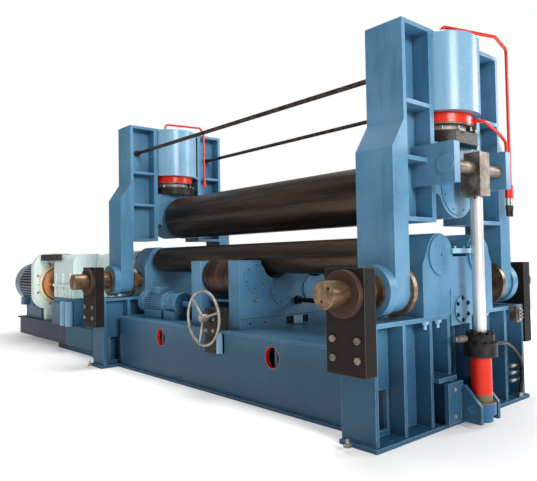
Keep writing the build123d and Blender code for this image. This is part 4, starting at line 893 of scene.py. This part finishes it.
# %% Shaft plates, housings and feet
SHAFT_X, SHAFT_Z = 1.970, 1.005
SHAFT_END_Y, HOLE_SUNK = 1.328, 0.001
SHAFT_HOLES = ((0.045, 0.042), (-0.012, -0.040))
PLATE_FACE_Y, PLATE_BOLTS_Z, PLATE_BOLTS_SIZE = 1.130, 0.6485, (0.210, 0.123)
ROLL_Y, ROLL_Z = 0.265, 1.244
COVER_FACE_X, COVER_SCREWS_RADIUS = 2.140, 0.092
FLANGE_FACE_X, FLANGE_Z, FLANGE_BOLTS_RADIUS = 2.145, 0.838, 0.082
HOUSING_NUTS_X, HOUSING_NUTS_Y, HOUSING_NUTS_Z = 2.090, (0.262, 0.421), 0.775
FOOT_Y, FOOT_TOP, FOOT_BOLTS_APART = 1.034, 0.030, 0.190
BRACKET_FACE_X, BRACKET_BOLTS_Y, BRACKET_BOLTS_Z, BRACKET_BOLTS_APART = 2.190, 0.222, 0.185, 0.190

for side in BOTH:
    x, way = side * SHAFT_X, X_WAY[side]
    for face in BOTH:
        place = (x, face * PLATE_FACE_Y, PLATE_BOLTS_Z)
        rows("base", "brown", "plate_bolt", (2, 2), PLATE_BOLTS_SIZE, place, Y_WAY[face])
        for dx, dz in SHAFT_HOLES:
            place = (x + dx, face * (SHAFT_END_Y - HOLE_SUNK), SHAFT_Z + dz)
            single("base", "hole", "tapped_hole", place, Y_WAY[face])
    for roll_y in (-ROLL_Y, ROLL_Y):
        place = (side * COVER_FACE_X, roll_y, ROLL_Z)
        ring("base", "blue", "cover_screw", 18, COVER_SCREWS_RADIUS, place, way)
        if side > 0:
            single("base", "hole", "cover_screw", place, way)
    place = (side * FLANGE_FACE_X, 0.0, FLANGE_Z)
    ring("base", "black", "small_bolt", 6, FLANGE_BOLTS_RADIUS, place, way, pi / 6)
    for face in BOTH:
        for nut_y in HOUSING_NUTS_Y:
            place = (side * HOUSING_NUTS_X, face * nut_y, HOUSING_NUTS_Z)
            single("base", "light", "stand_nut", place, "-z")
        place = (x, face * FOOT_Y, FOOT_TOP)
        rows("base", "steel", "foot_bolt", (2, 1), (FOOT_BOLTS_APART, 0.0), place, "+z")

for face in BOTH:
    place = (BRACKET_FACE_X, face * BRACKET_BOLTS_Y, BRACKET_BOLTS_Z)
    rows("base", "steel", "small_bolt", (1, 2), (0.0, BRACKET_BOLTS_APART), place, "+x")
print("base bolts:", {group: len(meshes) for (body, group), meshes in gathered.items()})

# %% [markdown]
# ## Support roller unit
# Four rollers carry the lower rolls at mid span, and a wedge bar slides in a slot of their housing. The
# slot is open on the real part. Cutting it would change the solid, so a thin black slab on the face
# stands for it, as painted shade of the open slot.

# %% Covers, slots and lube pipe
SUPPORT_FACES = ((-0.442, "-x"), (0.362, "+x"))
ROLLERS = ("front_outer", "front_inner", "rear_inner", "rear_outer")
ROLLER_SCREWS_RADIUS = 0.108
SUPPORT_HOLES_Y, SUPPORT_HOLES_Z = (-0.60, -0.42, 0.42, 0.60), 0.645
SLOT_LOW, SLOT_HIGH, SLOT_DEEP = 0.612, 0.676, 0.002
SEAM_HALF, SEAM_LOW, SEAM_HIGH, SEAM_DEEP = 0.72, 0.688, 0.692, 0.001
LUBE_PIPE = ((0.350, -0.540, 0.855), (0.372, -0.540, 0.855), (0.372, -0.500, 0.855))


def middle(node):
    """The middle of a CAD node's box."""
    low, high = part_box(node)
    return (low + high) / 2


for name in ROLLERS:
    axis_at = middle(f"{name}_support_roller")
    for face_x, way in SUPPORT_FACES:
        place = (face_x, axis_at.y, axis_at.z)
        ring("base", "black", "cover_screw", 6, ROLLER_SCREWS_RADIUS, place, way, 0.4)
support_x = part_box("support_base")[1].x
for hole_y in SUPPORT_HOLES_Y:
    single("base", "hole", "tapped_hole", (support_x, hole_y, SUPPORT_HOLES_Z), "+x")
wedge_low, wedge_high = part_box("wedge_bar")
front_slot = (wedge_low.y - 0.085, wedge_low.y - 0.005)
rear_slot = (wedge_high.y + 0.005, wedge_high.y + 0.060)
for slot_y in (front_slot, rear_slot):
    slab("base", "hole", (support_x, slot_y[0], SLOT_LOW), (support_x + SLOT_DEEP, slot_y[1], SLOT_HIGH))
slab("base", "hole", (support_x, -SEAM_HALF, SEAM_LOW), (support_x + SEAM_DEEP, SEAM_HALF, SEAM_HIGH))
tube("base", "steel", LUBE_PIPE, 0.016)
print("support unit:", len(ROLLERS) * len(SUPPORT_FACES), "covers")

# %% [markdown]
# ## Press ends
# Each press cylinder pushes a ram whose flange is held on the bearing block by fourteen studs. The
# block moves up and down, so the studs ride the block while the collar above them stays with the frame.
# The two pipes at the drop end stop at their hose unions.

# %% Ram studs, collars and pipe ends
MOVING_ENDS = (("drive", -1, "carriage", "drive_block"), ("tip", 1, "tip_frame", "tip_block"))
STUDS_RADIUS, FLANGE_THICK = 0.2765, 0.088
BLOCK_SCREWS_RADIUS, BLOCK_Z = 0.195, 1.764
PIPES_X, PIPES_Y = 2.200, (0.690, 0.640)
PIPE_PARTS = (
    ("steel", 1.702, 1.640, 0.030, 16),
    ("black", 1.640, 1.600, 0.040, 6),
    ("black", 1.600, 1.550, 0.032, 16),
)

collar = lathed("collar", [(0.256, 0.0), (0.256, 0.009)], 64)
for end, side, frame_body, block_body in MOVING_ENDS:
    x = side * SHAFT_X
    block_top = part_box(f"{end}_bearing_block")[1]
    place = (x, 0.0, block_top.z + FLANGE_THICK)
    ring(block_body, "steel", "flange_stud", 14, STUDS_RADIUS, place, "+z", pi / 14)
    gland_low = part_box(f"{end}_press_gland")[0].z
    gather(frame_body, "brown", collar, facing((x, 0.0, gland_low), "-z"))
    if side > 0:
        place = (block_top.x, 0.0, BLOCK_Z)
        ring(block_body, "hole", "cover_screw", 8, BLOCK_SCREWS_RADIUS, place, "+x", pi / 8)
for pipe_y in PIPES_Y:
    for group, top, bottom, diameter, sides in PIPE_PARTS:
        tube("tip_frame", group, [(PIPES_X, pipe_y, top), (PIPES_X, pipe_y, bottom)], diameter, sides)
print("press ends:", len(MOVING_ENDS), "ends,", len(PIPES_Y), "pipes")

# %% [markdown]
# ## Tilt cylinder
# The cylinder that lowers the drop end has screws in its gland, bolts in the flange below it and a port
# on each side. They ride the barrel, which swings, and the grease nipples ride the rod.

# %% Gland screws, ports and nipples
TILT_X, BARREL_FLANGE_Z, PORT_Z = 2.275, 0.605, 0.572
GLAND_SCREWS_RADIUS, BARREL_BOLTS_RADIUS = 0.080, 0.098
FRONT_PORT = ((2.215, -0.095, 0.632), (2.190, -0.175, 0.632), (2.184, -0.196, 0.632))
REAR_PORT = ((TILT_X, 0.110, PORT_Z), (TILT_X, 0.168, PORT_Z))
NIPPLES_X, NIPPLES_Y, NIPPLE_LONG, EYE_LONG = 2.285, (-0.035, 0.045), 0.020, 0.022

gland_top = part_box("tilt_gland")[1].z
place = (TILT_X, 0.0, gland_top)
ring("tilt_barrel", "black", "gland_screw", 10, GLAND_SCREWS_RADIUS, place, "+z")
place = (TILT_X, 0.0, BARREL_FLANGE_Z)
ring("tilt_barrel", "black", "cover_bolt", 10, BARREL_BOLTS_RADIUS, place, "+z", pi / 10)
tube("tilt_barrel", "brown", FRONT_PORT[:2], 0.050, 6)
tube("tilt_barrel", "steel", FRONT_PORT[1:], 0.038)
tube("tilt_barrel", "brown", REAR_PORT, 0.050, 6)
head_low, head_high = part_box("rod_head")
tube("tilt_rod", "steel", [(TILT_X, 0.0, head_high.z), (TILT_X, 0.0, head_high.z + EYE_LONG)], 0.024, 6)
for y in NIPPLES_Y:
    nipple = [(NIPPLES_X, y, head_low.z), (NIPPLES_X, y, head_low.z - NIPPLE_LONG)]
    tube("tilt_rod", "black", nipple, 0.022, 8)
print("tilt cylinder: gland top at", round(gland_top, 3), "m")

# %% [markdown]
# ## Main motor
# The motor is cooled by fins along its housing and by a fan behind a grille. Fins and slots both stand
# round one axis, so the tree that puts bolts on a circle makes them too, from a bar that lies off the
# axis.

# %% Fins, grille, terminal box and feet
MOTOR_AXIS = (-0.560, 0.905)
MOTOR_MIDDLE_X, MOTOR_FLANGE_X, FAN_END_X = -4.940, -4.602, -5.500
TERMINAL_BOX = ((-5.120, -0.700, 1.180), (-4.860, -0.440, 1.275))
MOTOR_FEET_X, FOOT_HALF, FOOT_BOLT_Y = (-5.20, -4.72), 0.06, -0.835
FOOT_FRONT, FOOT_REAR, FOOT_LOW, FOOT_HIGH = -0.860, -0.780, 0.560, 0.680
EYE_PLACE = (-4.740, -0.560, 1.204)

fin = boxed("fin", (0.304, 0.0, 0.0), (0.034, 0.011, 0.660))
spokes("base", "motor", fin, 44, (MOTOR_MIDDLE_X, *MOTOR_AXIS), "+x")
disc("base", "motor", 0.630, 0.040, (MOTOR_FLANGE_X, *MOTOR_AXIS), "+x")
# The grille's slots are black bars: painted shade behind the openings.
slot_bar = boxed("slot_bar", (0.190, 0.0, 0.003), (0.190, 0.014, 0.006))
spokes("base", "black", slot_bar, 24, (FAN_END_X, *MOTOR_AXIS), "-x")
slab("base", "motor", *TERMINAL_BOX)
ring("base", "steel", "small_bolt", 4, 0.120, top_of(*TERMINAL_BOX), "+z", pi / 4)
for x in MOTOR_FEET_X:
    slab("base", "blue", (x - FOOT_HALF, FOOT_FRONT, FOOT_LOW), (x + FOOT_HALF, FOOT_REAR, FOOT_HIGH))
    single("base", "steel", "base_bolt", (x, FOOT_BOLT_Y, FOOT_HIGH), "+z")
eye_stem = lathed("eye_stem", [(0.020, 0.0), (0.020, 0.030)], 12)
gather("base", "steel", eye_stem, facing(EYE_PLACE, "+z"))
print("motor axis at", MOTOR_AXIS[1], "m")

# %% [markdown]
# ## Brake and guard
# The bell plate joins motor and brake, and a rim stands out of it round the drum. The drum is covered
# by a guard of dark sheet with a pierced band. The holes show only as a row of light spots, so a row of
# teeth is enough.

# %% Bell plate, drum and guard
BELL_FACE_X, DRUM_FACE_X = -4.450, -4.290
BELL_BOLTS_RADIUS, DRUM_BOLTS_RADIUS = 0.330, 0.130
RIM_RADIUS, RIM_THICK, RIM_DEEP = 0.262, 0.034, 0.036
GUARD_FRONT = ((-4.400, -0.838, 1.262), (-3.660, -0.800, 1.354))
GUARD_REAR = ((-4.400, -0.420, 1.225), (-4.000, -0.375, 1.300))
TEETH_PLACE, TEETH_LONG, TEETH_COUNT = (-4.050, -0.812, 1.358), 0.62, 14

ring("base", "steel", "cover_bolt", 8, BELL_BOLTS_RADIUS, (BELL_FACE_X, *MOTOR_AXIS), "+x", pi / 8)
ring("base", "steel", "cover_bolt", 6, DRUM_BOLTS_RADIUS, (DRUM_FACE_X, *MOTOR_AXIS), "+x")
outside = RIM_RADIUS + RIM_THICK
rim = hollow("rim", [(RIM_RADIUS, 0.0), (outside, 0.0), (outside, RIM_DEEP), (RIM_RADIUS, RIM_DEEP)], 56)
gather("base", "cream", rim, facing((BELL_FACE_X, *MOTOR_AXIS), "+x"))
tooth = prototype(boxed("tooth", (0, 0, 0), (0.026, 0.050, 0.008)))
teeth = grow(
    row_tree, Prototype=tooth, Width=TEETH_LONG, Height=0.0, Columns=TEETH_COUNT, Rows=1, Finish=cream,
)
gather("base", "cream", teeth, Matrix.Translation(TEETH_PLACE))
slab("base", "dark", *GUARD_FRONT)
slab("base", "dark", *GUARD_REAR)
print("guard teeth:", TEETH_COUNT)

# %% [markdown]
# ## Gearbox
# The gearbox is a casting in two halves, with a flange where they meet, bolts along the flange and ribs
# down the sides. Each is a plain slab, because a rounded edge of a casting is less than a pixel wide
# from here.

# %% Split flange, ribs and covers
SPLIT_Z, SPLIT_HALF = 0.905, 0.018
SPLIT_TOP = SPLIT_Z + SPLIT_HALF
SPLIT_FLANGES = (((-3.955, -0.825), (-3.210, -0.300)), ((-3.260, -0.500), (-2.440, 0.500)))
SPLIT_BOLTS_X, SPLIT_BOLTS_APART, SPLIT_BOLTS_Y = -3.19, 0.14, (-0.492, 0.492)
RIB_HALF, BASE_TOP = 0.016, 0.355
SMALL_RIBS_X, SMALL_RIB = (-3.86, -3.60, -3.34), ((-0.822, 0.740), (-0.795, 1.080))
LARGE_RIBS_X, RIB_INSIDE, RIB_OUTSIDE, RIB_TOP = (-3.12, -2.87, -2.62), 0.465, 0.505, 1.180
PEDESTAL = ((-3.930, -0.845, BASE_TOP), (-3.620, -0.795, 0.640))
PEDESTAL_CAP = ((-3.930, -0.835, 0.640), (-3.620, -0.795, 0.660))
SPLIT_ROW_PLACE, SPLIT_ROW_LONG = (-3.610, -0.823, SPLIT_TOP), 0.64
POSTS_X, POSTS_Y = (-3.48, -3.30), -0.845
COUPLING_X, COUPLING_BOLTS_RADIUS = -2.435, 0.082
INSPECTION_COVER = ((-3.020, -0.160, 1.345), (-2.720, 0.160, 1.372))
BASE_BOLTS_X, BASE_BOLTS_Y = (-5.30, -4.40, -3.75, -2.90), 0.74

for low, high in SPLIT_FLANGES:
    slab("base", "pale", (*low, SPLIT_Z - SPLIT_HALF), (*high, SPLIT_TOP))
rows("base", "steel", "cover_bolt", (5, 1), (SPLIT_ROW_LONG, 0.0), SPLIT_ROW_PLACE, "+z")
for bolt_y in SPLIT_BOLTS_Y:
    for i in range(6):
        place = (SPLIT_BOLTS_X + i * SPLIT_BOLTS_APART, bolt_y, SPLIT_TOP)
        single("base", "steel", "cover_bolt", place, "+z")
for x in SMALL_RIBS_X:
    slab("base", "pale", (x - RIB_HALF, *SMALL_RIB[0]), (x + RIB_HALF, *SMALL_RIB[1]))
for x in LARGE_RIBS_X:
    slab("base", "pale", (x - RIB_HALF, -RIB_OUTSIDE, BASE_TOP), (x + RIB_HALF, -RIB_INSIDE, RIB_TOP))
    slab("base", "pale", (x - RIB_HALF, RIB_INSIDE, BASE_TOP), (x + RIB_HALF, RIB_OUTSIDE, RIB_TOP))
slab("base", "blue", *PEDESTAL)
slab("base", "blue", *PEDESTAL_CAP)
post = lathed("post", [(0.052, 0.0), (0.052, 0.330), (0.046, 0.335)], 24)
for x in POSTS_X:
    gather("base", "light", post, Matrix.Translation((x, POSTS_Y, BASE_TOP)))
for roll_y in (-ROLL_Y, ROLL_Y):
    ring("base", "steel", "small_bolt", 6, COUPLING_BOLTS_RADIUS, (COUPLING_X, roll_y, ROLL_Z), "+x")
slab("base", "pale", *INSPECTION_COVER)
ring("base", "steel", "small_bolt", 6, 0.150, top_of(*INSPECTION_COVER), "+z", pi / 6)
for x in BASE_BOLTS_X:
    for face in BOTH:
        single("base", "steel", "base_bolt", (x, face * BASE_BOLTS_Y, BASE_TOP), "+z")
print("gearbox ribs:", len(SMALL_RIBS_X) + 2 * len(LARGE_RIBS_X))

# %% [markdown]
# ## Adjusting motor
# A small motor on the bed turns the wedge of the support unit, and the handwheel does so by hand. It is
# made like the main motor, only that its fan grille is three circles of holes.

# %% Small motor, worm box and handwheel
SMALL_AXIS = (-0.550, 0.762)
SMALL_MIDDLE_X, SMALL_FAN_X, SMALL_FLANGE_X, SMALL_GEAR_X = -1.310, -1.630, -1.100, -0.864
SMALL_FLANGE_THICK = 0.022
GRILLE_HOLES = ((8, 0.050), (14, 0.078), (18, 0.106))
SMALL_BOX = ((-1.400, -0.640, 0.870), (-1.240, -0.500, 0.930))
WORM_FACE, WHEEL_FACE = (0.090, -0.868, 0.640), (0.090, -0.968, 0.706)

small_fin = boxed("small_fin", (0.128, 0.0, 0.0), (0.018, 0.005, 0.330))
spokes("base", "blue", small_fin, 36, (SMALL_MIDDLE_X, *SMALL_AXIS), "+x")
# The grille's holes are near-black discs: painted shade behind them.
for count, radius in GRILLE_HOLES:
    ring("base", "hole", "tapped_hole", count, radius, (SMALL_FAN_X, *SMALL_AXIS), "-x")
disc("base", "blue", 0.262, SMALL_FLANGE_THICK, (SMALL_FLANGE_X, *SMALL_AXIS), "+x")
disc("base", "blue", 0.250, 0.024, (SMALL_GEAR_X, *SMALL_AXIS), "+x")
place = (SMALL_FLANGE_X + SMALL_FLANGE_THICK, *SMALL_AXIS)
ring("base", "steel", "small_bolt", 6, 0.108, place, "+x")
slab("base", "blue", *SMALL_BOX)
rows("base", "steel", "small_bolt", (2, 2), (0.11, 0.09), top_of(*SMALL_BOX), "+z")
ring("base", "steel", "cover_bolt", 4, 0.078, WORM_FACE, "-y", pi / 4)
disc("handwheel", "steel", 0.050, 0.014, WHEEL_FACE, "-y")
print("grille holes:", sum(count for count, radius in GRILLE_HOLES))

# %% [markdown]
# ## Bed and its fittings
# The bed has lifting holes with red rims and a ledge under its top. At the drop end, a bar with three
# unions feeds oil to the housings, and a valve block and three hydraulic unions sit on the rear stand.

# %% Rims, lube bar, valve block and unions
HOLE_X, HOLE_Z, HOLE_R, BED_Y = 0.890, 0.425, 0.090, 0.812
RIM_INSIDE, RIM_LONG = HOLE_R - 0.004, 0.040
WORM_RIB = ((0.186, -0.866, 0.385), (0.206, -0.812, 0.572))
LEDGE_HALF, LEDGE_THICK, LEDGE_LOW, LEDGE_HIGH = 1.80, 0.016, 0.566, 0.590
LUBE_Z, LUBE_HALF, LUBE_UNIONS_Y = 1.272, 0.018, (-0.10, 0.02, 0.12)
LUBE_BAR = ((2.141, -0.142, LUBE_Z - LUBE_HALF), (2.160, 0.240, LUBE_Z + LUBE_HALF))
VALVE_BLOCK = ((2.116, 0.775, 0.672), (2.180, 0.850, 0.806))
VALVE_FACE = ((2.180, 0.800, 0.690), (2.192, 0.842, 0.790))
PORTS_Y, PORTS_Z = 0.821, (0.712, 0.740, 0.768)
UNIONS_X, UNIONS_Z = 2.135, (0.188, 0.251, 0.309)

slab("base", "light", *WORM_RIB)
rim = hollow("rim", [(HOLE_R, 0.0), (HOLE_R, RIM_LONG), (RIM_INSIDE, RIM_LONG), (RIM_INSIDE, 0.0)], 40)
for x in (-HOLE_X, HOLE_X):
    gather("base", "red", rim, facing((x, -BED_Y, HOLE_Z), "+y"))
    gather("base", "red", rim, facing((x, BED_Y, HOLE_Z), "-y"))
for face in BOTH:
    low = (-LEDGE_HALF, face * BED_Y, LEDGE_LOW)
    slab("base", "blue", low, (LEDGE_HALF, face * (BED_Y + LEDGE_THICK), LEDGE_HIGH))
slab("base", "light", *LUBE_BAR)
for y in LUBE_UNIONS_Y:
    tube("base", "light", [(2.150, y, LUBE_Z + 0.016), (2.150, y, LUBE_Z + 0.036)], 0.018, 8)
slab("base", "brown", *VALVE_BLOCK)
slab("base", "steel", *VALVE_FACE)
for z in PORTS_Z:
    tube("base", "steel", [(2.192, PORTS_Y, z), (2.210, PORTS_Y, z)], 0.016, 8)
for z in UNIONS_Z:
    tube("base", "steel", [(UNIONS_X, 0.725, z), (UNIONS_X, 0.800, z)], 0.030, 6)
    tube("base", "black", [(UNIONS_X, 0.800, z), (UNIONS_X, 0.875, z)], 0.024)
print("bed: lifting holes", 2 * HOLE_R, "m across")

# %% [markdown]
# ## The tilt cylinder's hose
# One hose feeds the tilt cylinder. It leaves the gland, loops over to the rear and drops to a fitting
# at the foot of the stand. A straight pipe with rounded corners would look stiff, so a soft curve runs
# through the points. The gland moves when the frame tilts.

# %% Lay the hose
HOSE_D = 0.034
STEPS = 8


def smooth_line(points, steps):
    """A soft curve through the points, as a hose lies."""
    knots = [Vector(p) for p in points]
    knots = [knots[0] * 2 - knots[1], *knots, knots[-1] * 2 - knots[-2]]
    path = []
    for a, b, c, d in zip(knots, knots[1:], knots[2:], knots[3:]):
        once, twice, thrice = c - a, a * 2 - b * 5 + c * 4 - d, b * 3 - a - c * 3 + d
        for i in range(steps):
            t = i / steps
            path.append((b * 2 + once * t + twice * t * t + thrice * t ** 3) / 2)
    return path + [knots[-2]]


hose_points = [
    (TILT_X, 0.130, PORT_Z), (TILT_X, 0.320, 0.562), (2.200, 0.560, 0.520), (2.160, 0.760, 0.440),
    (2.152, 0.880, 0.330), (2.146, 0.905, 0.200), (2.128, 0.905, 0.050),
]
hose_path = smooth_line(hose_points, STEPS)
hose_mesh = tube_mesh(hose_path, HOSE_D, 16)
hose = bpy.data.objects.new("tilt_hose", hose_mesh)
hose_mesh.materials.append(black)
hose_mesh.polygons.foreach_set("use_smooth", [True] * len(hose_mesh.polygons))
hose_mesh.set_sharp_from_angle(angle=radians(40))
scene.collection.objects.link(hose)
hose_length = sum((b - a).length for a, b in zip(hose_path, hose_path[1:]))
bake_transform(hose)
tube("base", "steel", [(2.130, 0.905, 0.066), (2.126, 0.905, 0.034)], 0.048, 6)
print("hose", round(hose_length, 2), "m")

# %% [markdown]
# ## One mesh for each body and finish
# The heaps are complete now. Each becomes one object that rides its body, with its faces turned
# outwards. Its edges are kept sharp from the same angle as on the CAD nodes, so that both shade alike.

# %% Join what was gathered
def join_group(body, group, meshes):
    """The object that holds one heap."""
    finish, slot_name = FINISH_OF_GROUP[group]
    shape = heap(meshes)
    bmesh.ops.recalc_face_normals(shape, faces=shape.faces)
    whole = plain_mesh(f"{body}_{group}_details", shape)
    whole.polygons.foreach_set("use_smooth", [True] * len(whole.polygons))
    whole.set_sharp_from_angle(angle=SHARP)
    whole.materials.append(finish)
    piece = bpy.data.objects.new(whole.name, whole)
    scene.collection.objects.link(piece)
    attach(piece, body)
    return piece


details = [join_group(body, group, meshes) for (body, group), meshes in gathered.items()]
for proto in list(bpy.data.objects):
    if not proto.users_collection:
        bpy.data.objects.remove(proto)
print("joined pieces:", [d.name for d in details], sum(len(d.data.polygons) for d in details), "faces")

# %% [markdown]
# ## Studio
# The photograph shows the machine cut out on white, with its drop end lit from the right and its front
# in half shade. A pale floor, a white sky and one large lamp beyond the drop end give the same split.
# The floor glows towards its rim, so that its edge is lost in the white.

# %% Floor
FLOOR_MIDDLE, FLOOR_HALF = (-1.2, 0.0), (11.0, 9.0)
FLOOR_BELOW = 0.001
FLOOR_GLOW, WHITE = (134, 134, 134), (255, 255, 255)

west, east = FLOOR_MIDDLE[0] - FLOOR_HALF[0], FLOOR_MIDDLE[0] + FLOOR_HALF[0]
south, north = FLOOR_MIDDLE[1] - FLOOR_HALF[1], FLOOR_MIDDLE[1] + FLOOR_HALF[1]
corners = [(west, south, 0), (east, south, 0), (east, north, 0), (west, north, 0)]
floor_mesh = bpy.data.meshes.new("floor")
floor_mesh.from_pydata(corners, [], [(0, 1, 2, 3)])
floor = bpy.data.objects.new("floor", floor_mesh)
floor.location.z = -FLOOR_BELOW
scene.collection.objects.link(floor)
floor_shop = Shop("floor")
off_x = (floor_shop.axis("X") - FLOOR_MIDDLE[0]) / FLOOR_HALF[0]
off_y = (floor_shop.axis("Y") - FLOOR_MIDDLE[1]) / FLOOR_HALF[1]
away = (off_x * off_x + off_y * off_y) ** 0.5
glow = floor_shop.mix(floor_shop.step(away, 0.35, 0.90), linear(FLOOR_GLOW), linear(WHITE))
floor_mesh.materials.append(floor_shop.finish(linear((240, 240, 239)), 0.9))
floor_shop.tree.links.new(glow.socket, floor_shop.bsdf.inputs["Emission Color"])
floor_shop.bsdf.inputs["Emission Strength"].default_value = 1.0
print("floor", 2 * FLOOR_HALF[0], "by", 2 * FLOOR_HALF[1], "m")

# %% Sky
SKY_LIGHT = 0.33

world = bpy.data.worlds.new("studio")
scene.world = world
world.use_nodes = True
background = world.node_tree.nodes["Background"]
rays = world.node_tree.nodes.new("ShaderNodeLightPath")
strength = world.node_tree.nodes.new("ShaderNodeMapRange")
world.node_tree.links.new(rays.outputs["Is Camera Ray"], strength.inputs["Value"])
strength.inputs["To Min"].default_value = SKY_LIGHT
strength.inputs["To Max"].default_value = 1.0
world.node_tree.links.new(strength.outputs[0], background.inputs["Strength"])
background.inputs["Color"].default_value = (1.0, 1.0, 1.0, 1.0)
print("the sky lights with", SKY_LIGHT, "and shows white")

# %% Lamps
LAMPS = {
    "drop_end_lamp": ((24.0, -4.5, 8.5), (0.0, 0.0, 1.4), 8.0, 4900.0),
    "rear_lamp": ((7.0, 10.0, 5.0), (0.5, 0.0, 1.6), 4.0, 540.0),
    "roof_lamp": ((-0.5, 1.0, 9.0), (-0.5, 0.0, 1.0), 5.0, 560.0),
    "front_lamp": ((-2.0, -10.0, 5.0), (-0.5, 0.0, 1.6), 4.0, 55.0),
}


def lamp(name, place, aim, size, power):
    """A round area lamp that looks at a point."""
    light = bpy.data.lights.new(name, "AREA")
    light.shape, light.size, light.energy = "DISK", size, power
    made = bpy.data.objects.new(name, light)
    made.location = place
    made.rotation_euler = (Vector(aim) - Vector(place)).to_track_quat("-Z", "Y").to_euler()
    scene.collection.objects.link(made)


for name, (place, aim, size, power) in LAMPS.items():
    lamp(name, place, aim, size, power)
scene.view_settings.view_transform = "Standard"
print("lamps:", sorted(LAMPS))

# %% [markdown]
